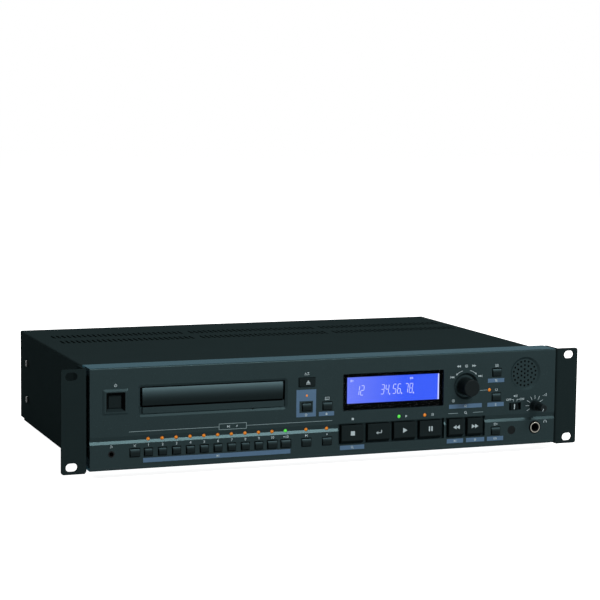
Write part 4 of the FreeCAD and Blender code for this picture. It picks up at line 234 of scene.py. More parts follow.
def keep_piece(name, bm, material, body="case"):
    """Turns a finished bmesh into a piece that rides on a body."""
    bmesh.ops.recalc_face_normals(bm, faces=bm.faces)
    mesh = bpy.data.meshes.new(name)
    bm.to_mesh(mesh)
    bm.free()
    mesh.materials.append(material)
    piece = bpy.data.objects.new(name, mesh)
    bpy.context.scene.collection.objects.link(piece)
    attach(piece, body)
    return piece


def loop(bm, outline, depth):
    """New vertices along an outline of (x, height) points, at one depth."""
    return [bm.verts.new(place(x, h, depth)) for x, h in outline]


def prism(bm, outline, front, back):
    """Closed plate over a flat outline, between two depths."""
    fronts, backs = loop(bm, outline, front), loop(bm, outline, back)
    bm.faces.new(fronts)
    bm.faces.new(backs[::-1])
    count = len(outline)
    for i in range(count):
        j = (i + 1) % count
        bm.faces.new((fronts[j], fronts[i], backs[i], backs[j]))


def close_ring(bm, loops):
    """Joins each loop to the next, and the last to the first."""
    count = len(loops[0])
    for a in range(len(loops)):
        b = (a + 1) % len(loops)
        for i in range(count):
            j = (i + 1) % count
            bm.faces.new((loops[a][i], loops[a][j], loops[b][j], loops[b][i]))


def ring(bm, outer, inner, front, back):
    """Closed flat frame between two outlines with as many points each."""
    sections = ((outer, front), (inner, front), (inner, back), (outer, back))
    close_ring(bm, [loop(bm, outline, depth) for outline, depth in sections])


def offset_line(points, distance, closed):
    """Points moved sideways by a distance, with mitred corners of a limited reach."""
    least_share = 0.3
    count = len(points)
    moved = []
    for i, point in enumerate(points):
        before = points[i - 1] if closed or i > 0 else None
        after = points[(i + 1) % count] if closed or i < count - 1 else None
        sides = []
        for a, b in ((before, point), (point, after)):
            if a is None or b is None:
                continue
            dx, dh = b[0] - a[0], b[1] - a[1]
            length = math.hypot(dx, dh)
            sides.append((-dh / length, dx / length))
        nx = sum(s[0] for s in sides) / len(sides)
        nh = sum(s[1] for s in sides) / len(sides)
        share = max(least_share, nx * nx + nh * nh)
        moved.append((point[0] + nx / share * distance, point[1] + nh / share * distance))
    return moved


def stroke(bm, points, width, front, back, closed=False):
    """Flat line of a width along points, open or closed."""
    left = offset_line(points, width / 2, closed)
    right = offset_line(points, -width / 2, closed)
    if closed:
        ring(bm, left, right, front, back)
    else:
        prism(bm, left + right[::-1], front, back)


def arc(x, height, radius, start, end, steps=10):
    """Points of an arc; angles in degrees, clockwise from the top."""
    points = []
    for i in range(steps + 1):
        angle = math.radians(start + (end - start) * i / steps)
        points.append((x + radius * math.sin(angle), height + radius * math.cos(angle)))
    return points


def circle(x, height, radius, steps=24):
    """Outline of a circle, clockwise from the top."""
    return arc(x, height, radius, 0, 360, steps)[:-1]


def rectangle(x0, x1, h0, h1):
    """Outline of an upright rectangle."""
    return [(x0, h0), (x1, h0), (x1, h1), (x0, h1)]


# Each pictogram is about 2.4 mm high: open lines, closed lines and filled shapes round (0, 0).
PICTOGRAMS = {
    "power": ([arc(0, -0.1, 1.1, 35, 325, 14), [(0, 0.1), (0, 1.3)]], [], []),
    "wireless": ([arc(-0.9, -0.9, 1, 0, 90, 6), arc(-0.9, -0.9, 2, 0, 90, 8)], [],
                 [circle(-0.8, -0.8, 0.35, 10)]),
    "cross": ([[(-0.9, -0.9), (0.9, 0.9)], [(-0.9, 0.9), (0.9, -0.9)]], [], []),
    "tray": ([[(-2.4, -1), (2.4, -1)]], [],
             [[(-2, -0.3), (-0.4, -0.3), (-1.2, 1.1)], [(0.4, 1.1), (1.2, -0.3), (2, 1.1)]]),
    "up": ([], [[(0, 1.2), (1.3, 0), (0.6, 0), (0.6, -1.1), (-0.6, -1.1), (-0.6, 0), (-1.3, 0)]], []),
    "screen": ([[(-1.2, -0.4), (1.2, -0.4)]], [rectangle(-1.8, 1.8, -1.1, 1.1)], []),
    "lock": ([arc(0, 0.1, 0.65, -90, 90, 8)], [], [rectangle(-0.95, 0.95, -1.1, 0.1)]),
    "cue": ([[(1.1, -1.1), (1.1, 1.1)]], [], [[(-1.1, -1.1), (0.7, 0), (-1.1, 1.1)]]),
    "bolt": ([], [], [[(0.5, 1.3), (-0.9, -0.2), (-0.1, -0.2), (-0.5, -1.3), (0.9, 0.3), (0.1, 0.3)]]),
    "stop": ([], [], [rectangle(-1, 1, -1, 1)]),
    "play": ([], [], [[(-0.9, -1.1), (1.1, 0), (-0.9, 1.1)]]),
    "pause": ([], [], [rectangle(-0.9, -0.3, -1.1, 1.1), rectangle(0.3, 0.9, -1.1, 1.1)]),
    "back": ([], [], [[(0, -1.1), (0, 1.1), (-1.9, 0)], [(1.9, -1.1), (1.9, 1.1), (0, 0)]]),
    "forward": ([], [], [[(-1.9, -1.1), (0, 0), (-1.9, 1.1)], [(0, -1.1), (1.9, 0), (0, 1.1)]]),
    "lens": ([[(0.55, -0.45), (1.4, -1.3)]], [circle(-0.2, 0.25, 0.95, 16)], []),
    "menu": ([[(-1.6, y), (1.6, y)] for y in (-1, 0, 1)], [], []),
    "percent": ([[(-0.9, -1.1), (0.9, 1.1)]], [circle(-0.8, 0.7, 0.4, 10), circle(0.8, -0.7, 0.4, 10)], []),
    "plusminus": ([[(-0.9, 0.4), (0.9, 0.4)], [(0, -0.4), (0, 1.2)], [(-0.9, -1.1), (0.9, -1.1)]], [], []),
    "wheel": ([arc(0, 0, 1.05, 40, 320, 14)], [], [[(0.2, 0.5), (1.3, 0.4), (0.7, 1.4)]]),
    "press": ([], [circle(0, 0, 1.2, 16)], [circle(0, 0, 0.5, 12)]),
    "list": ([[(-1.9, y), (0.2, y)] for y in (-0.9, 0, 0.9)], [], [[(0.8, -0.7), (1.9, 0), (0.8, 0.7)]]),
    "loop": ([[(-1.5, -0.2), (-1.5, 0.6), (1, 0.6)], [(1.5, 0.2), (1.5, -0.6), (-1, -0.6)]], [],
             [[(0.8, 0), (1.7, 0.6), (0.8, 1.2)], [(-0.8, 0), (-1.7, -0.6), (-0.8, -1.2)]]),
    "speaker": ([arc(0.4, 0, 0.9, 35, 145, 6), arc(0.4, 0, 1.6, 35, 145, 8)], [],
                [[(-1.6, -0.5), (-0.9, -0.5), (0.1, -1.2), (0.1, 1.2), (-0.9, 0.5), (-1.6, 0.5)]]),
    "wedge": ([], [[(-2, -1), (2, -1), (2, 1)]], []),
    "headphones": ([arc(0, -0.2, 1.25, -90, 90, 10)], [],
                   [rectangle(-1.6, -0.9, -1.2, 0), rectangle(0.9, 1.6, -1.2, 0)]),
    "return": ([[(1.4, 0.9), (1.4, -0.5), (-0.9, -0.5)]], [], [[(-0.5, -1.3), (-0.5, 0.3), (-1.7, -0.5)]]),
}


def draw(bm, name, x, height, size, width, front, back=INK_BACK):
    """Pictogram round a place, with its open lines, closed lines and filled shapes."""
    lines, loops, fills = PICTOGRAMS[name]

    def moved(points):
        return [(x + a * size, height + b * size) for a, b in points]

    for points in lines:
        stroke(bm, moved(points), width, front, back)
    for points in loops:
        stroke(bm, moved(points), width, front, back, closed=True)
    for points in fills:
        prism(bm, moved(points), front, back)


def write(bm, text, x, height, tall, lift):
    """Centred numerals or letters of a cap height, as solid ink on the panel's face."""
    caps_in_size = 0.7
    bolder = 0.03
    curve = bpy.data.curves.new("lettering", "FONT")
    curve.body = text
    curve.align_x = "CENTER"
    curve.align_y = "CENTER"
    curve.size = tall / caps_in_size * MM
    curve.offset = bolder * MM
    curve.extrude = lift / 2 * MM
    curve.resolution_u = 3
    holder = bpy.data.objects.new("lettering", curve)
    bpy.context.scene.collection.objects.link(holder)
    bpy.context.view_layer.update()
    graph = bpy.context.evaluated_depsgraph_get()
    mesh = bpy.data.meshes.new_from_object(holder.evaluated_get(graph))
    mesh.transform(Matrix.Translation(place(x, height, -lift / 2)) @ Matrix.Rotation(math.pi / 2, 4, "X"))
    bm.from_mesh(mesh)
    bpy.data.objects.remove(holder)
    bpy.data.curves.remove(curve)
    bpy.data.meshes.remove(mesh)


def settle(bm, node, lift):
    """Lays flat ink on a node's real surface, so that it follows slopes and crowns."""
    ahead = 0.03
    sunk = 0.4
    graph = bpy.context.evaluated_depsgraph_get()
    tree = BVHTree.FromObject(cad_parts[node], graph)
    for vert in bm.verts:
        start = Vector((vert.co.x, FACE_Y - ahead, vert.co.z))
        hit = tree.ray_cast(start, Vector((0, 1, 0)))[0]
        if hit:
            vert.co.y = hit.y + (-lift if vert.co.y < FACE_Y else sunk * lift) * MM


def turned(bm, x, height, profile, steps=48):
    """Closed ring turned about a front-to-back line from (radius, depth) points."""
    close_ring(bm, [loop(bm, circle(x, height, radius, steps), depth) for radius, depth in profile])


class PLAYER_OT_dress_case(bpy.types.Operator):
    """Finish the sheet metal, the feet and the screws"""

    bl_idname = "player.dress_case"
    bl_label = "Case"

    def execute(self, context):
        colours = settings()[0]
        # Textured powder coat on folded steel: dead matt, so that it stays dark even at a low angle.
        dress(["top_cover"], "steel_powder_coated_cover", colours.cover, 0.9, grain=1.1, relief=0.03,
              tone=0.06, specular=0.0)
        dress(["rear_panel"], "steel_powder_coated_rear", "1e2627", 0.9, grain=1.1, relief=0.02, specular=0.0)
        # The ears' coat is thinner and smoother, so they look a little darker than the panel.
        dress(["rack_ear_left", "rack_ear_right"], "steel_powder_coated_ears", colours.ears, 0.6, grain=1.0,
              relief=0.02, tone=0.05, specular=0.0)
        # Zinc-plated sheet: broad pale spangle with soft gloss.
        dress(["bottom_chassis", "drive_chassis", "track_slider"], "steel_zinc_plated", "a9adb0", 0.38,
              grain=2.5, relief=0.004, tone=0.15, metallic=1.0)
        # Moulded rubber: black and dull.
        dress(["feet"], "rubber_moulded", "111212", 0.8, relief=0.02)
        # Steel blackened in a bath: dark metal whose head edges still shine.
        dress(["case_screws"], "steel_black_oxide", "2a2d2e", 0.35, grain=0.5, relief=0.004, metallic=1.0)
        return {"FINISHED"}


class PLAYER_OT_dress_front(bpy.types.Operator):
    """Finish the front panel, the keys, the knobs and the sockets"""

    bl_idname = "player.dress_front"
    bl_label = "Front"

    # The power well's painted shade: half its width and its depth, round its wall.
    WELL_SHADE = ((8.12, -1.1), (7.92, -1.1), (6.0, 2.4), (6.2, 2.4))
    # Black strips of painted shade in the tray's mouth: bottom, top and depth of their front.
    DOOR_SHADE_STRIPS = ((53.5, 53.95, 0.6), (53.5, 54.9, 2.0), (70.15, 70.95, 1.3))
    DOOR_SHADE_BACK = 2.8
    DOOR_SHADE_END_GAP = 0.2
    # The grille's rings of holes: distance between them, count, and holes in the first.
    GRILLE = (3.72, 3, 6)
    # Black discs of painted shade in the grille's holes: their radius, and their front and back.
    HOLE_SHADE_RADIUS = 0.9
    HOLE_SHADE_DEPTHS = (1.75, 1.9)
    # A small key's lip reaches this far past its hole on every side.
    KEY_LIP = 0.8
    # Black rings of painted shade round a small key's hole: width at the sides and below, width above, and
    # their front.
    KEY_SHADE = 0.3
    KEY_SHADE_ABOVE = 0.72
    KEY_SHADE_FRONT = -0.03

    def execute(self, context):
        colours = settings()[0]
        # ABS sprayed with a fine metallic lacquer: its flakes give slopes and edges blue-grey highlights.
        dress(["front_panel"], "abs_sprayed_lacquer", colours.panel, 0.26, relief=0.005, tone=0.04,
              scuff=0.04, metallic=0.36, specular=0.0, specular_tint=linear(LACQUER_TINT))
        # The same lacquer, polished. Its crown mirrors a bright sky and a dark floor, which an even white
        # studio doesn't have, so its colour is graded from pale at the top to nearly black below.
        dress(["tray_door"], "abs_sprayed_door", colours.door, 0.3, grain=6.0, relief=0.002, tone=0.04,
              scuff=0.03, top="556b70", metallic=0.1, specular=0.01, specular_tint=linear(LACQUER_TINT))
        # Matt ABS with an eroded grain: the caps' sides stay black beside the lacquer.
        dress([*TRANSPORT_KEYS, *OTHER_KEYS], "abs_moulded_keys", colours.keys, 0.5, grain=0.7, relief=0.006,
              tone=0.05, specular=0.0)
        # The small caps slope back above, and are graded as the door is: a painted highlight on the upper
        # edge, a dark face.
        dress([*NUMBER_KEYS, *SMALL_KEYS], "abs_caps_painted_highlight", colours.keys, 0.5, grain=0.7, relief=0.006,
              tone=0.05, top="84a6ad", steep=8.0, specular=0.0)
        # The knobs' ABS and elastomer: darker than the keys, with a soft shine round their edges.
        dress(["track_knob"], "abs_moulded_knob", "12191a", 0.4, grain=0.7, relief=0.006, tone=0.05,
              specular=0.05)
        dress(["level_knob"], "elastomer_moulded_knob", "10181a", 0.5, grain=0.6, specular=0.08)
        # Moulded nylon: black insulation with hardly any gloss.
        dress(["phones_jack", "remote_jack", "mains_inlet", "rear_sockets"], "nylon_moulded_black", "0b0c0d",
              0.5, specular=0.1)
        # Pressed paper cone: swallows the light behind the grille's holes.
        dress(["speaker"], "paper_pressed_cone", "050606", 0.9, grain=0.4, relief=0.02, specular=0.0)
        # Dyed polycarbonate, polished: looks black, because only infrared light passes.
        dress(["remote_sensor"], "polycarbonate_infrared", "0f1516", 0.2, grain=3.0, relief=0.002,
              specular=0.08)
        self.shade_power_well()
        self.shade_mouth_and_grille()
        self.shade_key_holes()
        return {"FINISHED"}

    def shade_power_well(self):
        """Black sheet on the top and the sides of the power key's sloped well, as painted shade."""
        x, height = centre_of("power_button")[:2]
        bm = bmesh.new()
        loops = []
        for half, depth in self.WELL_SHADE:
            corners = ((-half, -half), (-half, half), (half, half), (half, -half))
            loops.append(loop(bm, [(x + a, height + b) for a, b in corners], depth))
        for a in range(4):
            b = (a + 1) % 4
            for i in range(3):
                bm.faces.new((loops[a][i], loops[a][i + 1], loops[b][i + 1], loops[b][i]))
        for i in (0, 3):
            bm.faces.new([points[i] for points in loops])
        # Painted shade, black as the key: the well looks deep and black.
        black = finish("black_painted_well_shade", "060808", 0.6, specular=0.03)
        keep_piece("power_well_painted_shade", bm, black)

    def shade_mouth_and_grille(self):
        """Painted shade: black strips on the sill under the door, and black discs in the grille's holes."""
        # Black without gloss, as painted shade: takes the light and gives none back.
        shade_black = finish("black_painted_gap_shade", "050606", 0.95, grain=0.3, relief=0.03, specular=0.0)
        x0, x1 = edges_of("tray_door", self.DOOR_SHADE_END_GAP)[:2]
        bm = bmesh.new()
        for bottom, top, front in self.DOOR_SHADE_STRIPS:
            prism(bm, rectangle(x0, x1, bottom, top), front, self.DOOR_SHADE_BACK)
        keep_piece("door_painted_shade", bm, shade_black)
        bm = bmesh.new()
        x, height = centre_of("speaker")[:2]
        holes = [(x, height)]
        pitch, rings, first = self.GRILLE
        for step in range(1, rings + 1):
            holes += circle(x, height, pitch * step, first * step)
        for a, b in holes:
            prism(bm, circle(a, b, self.HOLE_SHADE_RADIUS, 12), *self.HOLE_SHADE_DEPTHS)
        keep_piece("grille_painted_shade", bm, shade_black)

    def shade_key_holes(self):
        """Thin black rings round the small keys' holes, a painted shade of the gap round each cap, wider
        above, where a cap hides a part.
        """
        bm = bmesh.new()
        for node in (*NUMBER_KEYS, *SMALL_KEYS):
            x0, x1, h0, h1 = edges_of(node, self.KEY_LIP)
            edge = self.KEY_SHADE
            outer = rectangle(x0 - edge, x1 + edge, h0 - edge, h1 + self.KEY_SHADE_ABOVE)
            ring(bm, outer, rectangle(x0, x1, h0, h1), self.KEY_SHADE_FRONT, INK_BACK)
        # Black without gloss: painted shade in the gap round a cap.
        key_shade_black = finish("black_painted_key_shade", "060808", 0.8, specular=0.0)
        keep_piece("key_painted_shade", bm, key_shade_black)


class PLAYER_OT_light_lamps(bpy.types.Operator):
    """Light the amber and green lamps"""

    bl_idname = "player.light_lamps"
    bl_label = "Lamps"

    def execute(self, context):
        colours = settings()[0]
        # Diffused epoxy resin: glows evenly with a small highlight on the dome.
        for node, name, colour in (("amber_lamps", "epoxy_cast_amber", colours.amber),
                                   ("green_lamps", "epoxy_cast_green", colours.green)):
            dress([node], name, colour, 0.3, grain=1.0, relief=0.004, tone=0.2, emission_color=colour,
                  emission_strength=0.28, specular=0.2)
        return {"FINISHED"}


class PLAYER_OT_print_strips(bpy.types.Operator):
    """Print the blue strips and the block round the shift key"""

    bl_idname = "player.print_strips"
    bl_label = "Blue strips"

    STRIPS = (
        (-171.7, -39.8, 7.0, 10.8), (6.6, 29.6, 7.0, 10.8), (109.7, 125.8, 7.0, 10.8),
        (128.8, 146.9, 7.0, 10.8), (149.7, 166.0, 7.0, 10.8), (111.3, 143.8, 38.2, 41.9),
        (149.4, 165.9, 38.2, 41.9), (-13.6, 0.6, 38.2, 41.9), (149.4, 165.7, 60.1, 63.7),
    )
    BLOCK = (-34.6, -16.4, 38.2, 62.0)
    BARE_SQUARE = (-31.8, -19.2, 41.7, 52.1)

    def execute(self, context):
        colours, sizes = settings()[:2]
        front = -sizes.lift / 2
        bm = bmesh.new()
        for strip in self.STRIPS:
            prism(bm, rectangle(*strip), front, INK_BACK)
        ring(bm, rectangle(*self.BLOCK), rectangle(*self.BARE_SQUARE), front, INK_BACK)
        # Screen-printed ink: flat and a little rough against the moulding.
        ink = finish("ink_screen_printed_blue", colours.strips, 0.55, grain=0.5, relief=0.004, tone=0.05,
                     specular=0.3)
        keep_piece("blue_strips", bm, ink)
        return {"FINISHED"}


class PLAYER_OT_print_marks(bpy.types.Operator):
    """Print the pale lines, numerals and pictograms"""

    bl_idname = "player.print_marks"
    bl_label = "Pale marks"

    PLACES = (
        ("power", -195.6, 73.6), ("wireless", -199.2, 21.9), ("cross", -179.0, 21.8), ("tray", -25.1, 76.0),
        ("screen", -6.0, 53.4), ("cue", -25.0, 21.8), ("bolt", -5.8, 21.8), ("cue", -96.4, 33.7),
        ("bolt", -88.8, 33.7), ("stop", 18.3, 34.0), ("play", 69.6, 34.0), ("pause", 95.2, 34.0),
        ("lens", 127.8, 33.9), ("back", 120.2, 76.2), ("press", 127.8, 76.2), ("forward", 135.4, 76.2),
        ("menu", 158.1, 75.4), ("wheel", 158.1, 53.5), ("list", 158.1, 22.0), ("press", 115.4, 45.3),
        ("speaker", 177.4, 46.7), ("wedge", 207.2, 46.5), ("headphones", 208.4, 22.0),
    )
    ON_STRIPS = (
        ("up", -25.5, 39.9), ("cue", -105.8, 8.9), ("lens", 18.1, 8.9), ("cue", 117.7, 8.9),
        ("pause", 137.8, 8.9), ("loop", 157.8, 8.9), ("lens", 127.5, 40.0), ("plusminus", 157.6, 40.0),
        ("lock", -6.5, 40.0), ("percent", 157.6, 61.9),
    )
    LINES = (
        ((-184.0, 33.7), (-104.8, 33.7)), ((-80.2, 33.7), (-1.0, 33.7)), ((110.5, 33.9), (120.2, 33.9)),
        ((135.2, 33.9), (145.2, 33.9)), ((141.6, 53.5), (149.1, 53.5)),
    )
    BANK_FRAME = (-104.8, -80.2, 31.2, 36.2)
    # Signs on the strips: size, and their front and back in thicknesses of ink.
    ON_STRIP = (0.9, 1.5, 0.4)
    NUMERALS_HEIGHT = 21.7
    # The speaker switch's words: text and X, then their height and cap height.
    WORDS = (("OFF", 170.7), ("ON", 184.2))
    WORDS_HEIGHT = 43.5
    WORDS_TALL = 2.0
    BRACKETS = (
        ((173.6, 43.5), (175.6, 43.5), (175.6, 41.8)), ((181.8, 43.5), (179.2, 43.5), (179.2, 41.8)),
    )
    BRACKET_WIDTH = 0.3
    # Ticks of the level knob's scale: first angle and step in degrees, count, radii and width.
    TICKS = (-120, 30, 9)
    TICK_RADII = (5.9, 9.4)
    TICK_WIDTH = 0.42
    # Arrows round the track knob: radius and width, degrees from the top of line and head, and
    # half the head's width as a share of its length.
    ARROW = (14.5, 0.4)
    ARROW_LINE = (14, 40)
    ARROW_HEAD = (38, 45)
    HEAD_SHARE = 0.5
    # Skip signs beside the track knob: distance from its axis, height, size, and their bar.
    SKIP = (13.6, 66.6, 0.85)
    SKIP_BAR = (2.0, 0.2, 1.0)

    def execute(self, context):
        colours, sizes = settings()[:2]
        bm = bmesh.new()
        front = -sizes.lift
        for name, x, height in self.PLACES:
            draw(bm, name, x, height, 1.0, sizes.stroke, front)
        size, above, under = self.ON_STRIP
        for name, x, height in self.ON_STRIPS:
            draw(bm, name, x, height, size, sizes.stroke, above * front, under * front)
        rules = bmesh.new()
        for points in self.LINES:
            stroke(rules, points, sizes.line, front, INK_BACK)
        stroke(rules, rectangle(*self.BANK_FRAME), sizes.line, front, INK_BACK, closed=True)
        # Screen-printed inks: even and matt, without the lacquer's highlights.
        grey = finish("ink_screen_printed_grey", colours.rules, 0.55, grain=0.5, relief=0.002, tone=0.04,
                      specular=0.2)
        keep_piece("ruled_lines", rules, grey)
        for index, node in enumerate(NUMBER_KEYS):
            text = "+10" if index == len(NUMBER_KEYS) - 1 else str(index + 1)
            write(bm, text, centre_of(node)[0], self.NUMERALS_HEIGHT, sizes.numeral, sizes.lift)
        for text, x in self.WORDS:
            write(bm, text, x, self.WORDS_HEIGHT, self.WORDS_TALL, sizes.lift)
        for points in self.BRACKETS:
            stroke(bm, points, self.BRACKET_WIDTH, front, INK_BACK)
        self.print_level_scale(bm, front)
        self.print_track_arrows(bm, sizes.stroke, front)
        ink = finish("ink_screen_printed_pale", colours.marks, 0.55, grain=0.5, relief=0.002, tone=0.04,
                     specular=0.3)
        keep_piece("pale_marks", bm, ink)
        return {"FINISHED"}

    def print_level_scale(self, bm, front):
        """Ticks round the level knob."""
        x, height = centre_of("level_knob")[:2]
        first, step, count = self.TICKS
        for index in range(count):
            angle = math.radians(first + step * index)
            ends = [(x + r * math.sin(angle), height + r * math.cos(angle)) for r in self.TICK_RADII]
            stroke(bm, ends, self.TICK_WIDTH, front, INK_BACK)

    def print_track_arrows(self, bm, width, front):
        """Curved arrows and skip signs round the track knob."""
        x, height = centre_of("track_knob")[:2]
        radius, line = self.ARROW
        away, row, size = self.SKIP
        bar_away, bar_half, bar_tall = self.SKIP_BAR
        for side in (-1, 1):
            start, end = (side * angle for angle in self.ARROW_LINE)
            stroke(bm, arc(x, height, radius, start, end, 8), line, front, INK_BACK)
            start, end = (side * angle for angle in self.ARROW_HEAD)
            foot, tip = arc(x, height, radius, start, end, 1)
            across = [reach * self.HEAD_SHARE for reach in (foot[1] - tip[1], tip[0] - foot[0])]
            head = [(foot[0] + across[0], foot[1] + across[1]), tip,
                    (foot[0] - across[0], foot[1] - across[1])]
            prism(bm, head, front, INK_BACK)
            middle = x + side * away
            draw(bm, "forward" if side > 0 else "back", middle, row, size, width, front)
            bar = middle + side * bar_away
            outline = rectangle(bar - bar_half, bar + bar_half, row - bar_tall, row + bar_tall)
            prism(bm, outline, front, INK_BACK)


class PLAYER_OT_mark_keys(bpy.types.Operator):
    """Print the signs on the keys and the pointers on the switch and the level knob"""

    bl_idname = "player.mark_keys"
    bl_label = "Key signs"

    SIGNS = (
        ("stop_key", "stop", 1.9), ("call_key", "return", 1.7), ("play_key", "play", 2.1),
        ("pause_key", "pause", 2.0), ("search_back_key", "back", 1.7), ("search_forward_key", "forward", 1.7),
    )
    SIGNS_HEIGHT = 21.4
    SIGNS_WIDTH = 0.6
    EJECT_BAR = (-26.2, -22.4, 66.8, 67.4)
    EJECT_ARROW = ((-26.2, 67.9), (-22.4, 67.9), (-24.3, 70.2))
    # The switch's line: half its width and half its height.
    SWITCH_LINE = (0.45, 2.4)
    # The level knob's pointer at rest: angle in degrees, half its width, and its ends' radii.
    POINTER = (-150, 0.32)
    POINTER_RADII = (0.7, 2.9)
    # Both start near the front of what they are on, and end this far inside it.
    SWITCH_LINE_START = -0.05
    POINTER_START = 0.02
    LINE_END = 0.3

    def execute(self, context):
        colours, sizes = settings()[:2]
        # Pad-printed ink: thin, even and a touch glossier than the caps.
        ink = finish("ink_pad_printed_pale", colours.marks, 0.5, grain=0.5, relief=0.002, tone=0.03,
                     specular=0.3)
        for node, sign, size in self.SIGNS:
            bm = bmesh.new()
            draw(bm, sign, centre_of(node)[0], self.SIGNS_HEIGHT, size, self.SIGNS_WIDTH, -sizes.lift)
            settle(bm, node, sizes.lift)
            keep_piece(node + "_sign", bm, ink, node)
        bm = bmesh.new()
        for outline in (rectangle(*self.EJECT_BAR), self.EJECT_ARROW):
            prism(bm, outline, -sizes.lift, INK_BACK)
        settle(bm, "open_close_key", sizes.lift)
        keep_piece("open_close_key_sign", bm, ink, "open_close_key")
        bm = bmesh.new()
        x, height, depth = centre_of("speaker_switch")
        half, tall = self.SWITCH_LINE
        line = rectangle(x - half, x + half, height - tall, height + tall)
        prism(bm, line, depth + self.SWITCH_LINE_START, depth + self.LINE_END)
        keep_piece("speaker_switch_line", bm, ink, "speaker_switch")
        bm = bmesh.new()
        x, height, depth = centre_of("level_knob")
        angle, half = self.POINTER
        turn = math.radians(angle)
        inner, outer = [(x + r * math.sin(turn), height + r * math.cos(turn)) for r in self.POINTER_RADII]
        across = (math.cos(turn) * half, -math.sin(turn) * half)
        outline = [(end[0] + side * across[0], end[1] + side * across[1])
                   for end, side in ((inner, 1), (outer, 1), (outer, -1), (inner, -1))]
        prism(bm, outline, depth + self.POINTER_START, depth + self.LINE_END)
        keep_piece("level_knob_pointer", bm, ink, "level_knob")
        return {"FINISHED"}


class PLAYER_OT_fill_display(bpy.types.Operator):
    """Fit the display's mask, backlight and digits behind its window"""

    bl_idname = "player.fill_display"
    bl_label = "Display"

    LIT = (14.4, 103.0, 46.9, 70.1)
    LIT_MARGIN = 1
    # Depths of front and back: the mask, the window's rim, the lit sheet, and the cell's figures.
    MASK_DEPTHS = (4.22, 4.3)
    RIM_DEPTHS = (0.2, 0.28)
    SHEET_DEPTHS = (4.4, 4.46)
    CELL_DEPTHS = (4.34, 4.39)
    # How far inside the window's edge the mask starts, and the rim starts and ends.
    INSETS = (0.2, -0.13, 1.1)
    # Pairs of figures: X of their foot, and whether a point follows.
    PAIRS = (("12", 22.6, False), ("34", 46.4, True), ("56", 57.9, True), ("78", 69.4, True))
    FOOT_HEIGHT = 54.0
    FIGURE_GAP = 1.6
    SLANT = 0.12
    # Gap at each end of a segment, as a share of its width.
    SEGMENT_GAP = 0.6
    POINT = (2.6, 0.9, 53.2, 54.6)
    SIGNS = (("list", 19.0, 0.8), ("loop", 76.0, 0.9))
    SIGNS_HEIGHT = 67.0
    SIGNS_WIDTH = 0.36
    END_BAR = (-1.2, 0.3)
    # The glow's pale end: its reach, and its share of white.
    PALE_REACH = 55
    PALE_SHARE = 0.12
    SEGMENTS = {
        "0": "abcdef", "1": "bc", "2": "abged", "3": "abgcd", "4": "fgbc", "5": "afgcd",
        "6": "afgedc", "7": "abc", "8": "abcdefg", "9": "abcdfg",
    }

    def execute(self, context):
        colours, sizes = settings()[0], settings()[2]
        # Cast acrylic with an anti-reflex coat: clear, with a faint gloss over the black mask.
        dress(["display_window"], "acrylic_cast_coated", "06080a", 0.05, grain=20.0, relief=0.0, tone=0.0,
              scuff=0.01, ior=1.49, alpha=0.04)
        mask = bmesh.new()
        edge, rim_start, rim_end = (rectangle(*edges_of("display_window", inset)) for inset in self.INSETS)
        ring(mask, edge, rectangle(*self.LIT), *self.MASK_DEPTHS)
        ring(mask, rim_start, rim_end, *self.RIM_DEPTHS)
        # Opaque ink printed behind the acrylic: black, with no shine of its own.
        ink = finish("ink_screen_printed_black", "020303", 0.7, grain=0.6, relief=0.0, specular=0.01)
        keep_piece("display_mask", mask, ink, "case")
        x0, x1, h0, h1 = self.LIT
        margin = self.LIT_MARGIN
        light = bmesh.new()
        prism(light, rectangle(x0 - margin, x1 + margin, h0 - margin, h1 + margin), *self.SHEET_DEPTHS)
        keep_piece("display_backlight", light, self.backlight(colours.backlight), "case")
        # Two bonded panes in their frame: a dark grey block round the lit area.
        dress(["display_module"], "glass_cell_bonded", "20252a", 0.4, grain=2.0, relief=0.012)
        digits = bmesh.new()
        for text, start, dotted in self.PAIRS:
            for index, figure in enumerate(text):
                self.figure(digits, figure, start + index * (sizes.digit_width + self.FIGURE_GAP), sizes)
            if dotted:
                after, width, low, high = self.POINT
                x = start + 2 * sizes.digit_width + after
                prism(digits, rectangle(x, x + width, low, high), *self.CELL_DEPTHS)
        for sign, x, size in self.SIGNS:
            draw(digits, sign, x, self.SIGNS_HEIGHT, size, self.SIGNS_WIDTH, *self.CELL_DEPTHS)
        inside, past = self.END_BAR
        prism(digits, rectangle(x1 + inside, x1 + past, h0 - past, h1 + past), *self.CELL_DEPTHS)
        # Liquid crystal let through by its segments: pale figures a little brighter than the glow.
        glow = finish("liquid_crystal_lit", colours.digits, 0.5, grain=2.0, relief=0.0, tone=0.02,
                      emission_color=colours.digits, emission_strength=0.7, specular=0.05)
        keep_piece("display_digits", digits, glow, "case")
        return {"FINISHED"}

    def backlight(self, colour):
        """Moulded polycarbonate sheet: an even glow that pales towards the left, where its lamp sits."""
        material = blank_material("polycarbonate_lit_sheet")
        tree = material.node_tree
        where = add(tree, "TexCoord")
        split = add(tree, "SeparateXYZ", {"Vector": where.outputs["Object"]})
        left = self.LIT[0]
        across = add(tree, "MapRange", {
            "Value": split.outputs["X"], "From Min": left * MM, "From Max": (left + self.PALE_REACH) * MM})
        pale = [c + (1 - c) * self.PALE_SHARE for c in colour[:3]] + [1.0]
        tint = add(tree, "Mix", {
            "Factor": across.outputs["Result"], "A": pale, "B": tuple(colour)}, data_type="RGBA")
        body = add(tree, "BsdfPrincipled", {
            "Base Color": (0.01, 0.02, 0.08, 1), "Roughness": 0.5, "Specular IOR Level": 0.05,
            "Emission Color": tint.outputs["Result"], "Emission Strength": 1.0})
        add(tree, "OutputMaterial", {"Surface": body.outputs["BSDF"]})
        return material

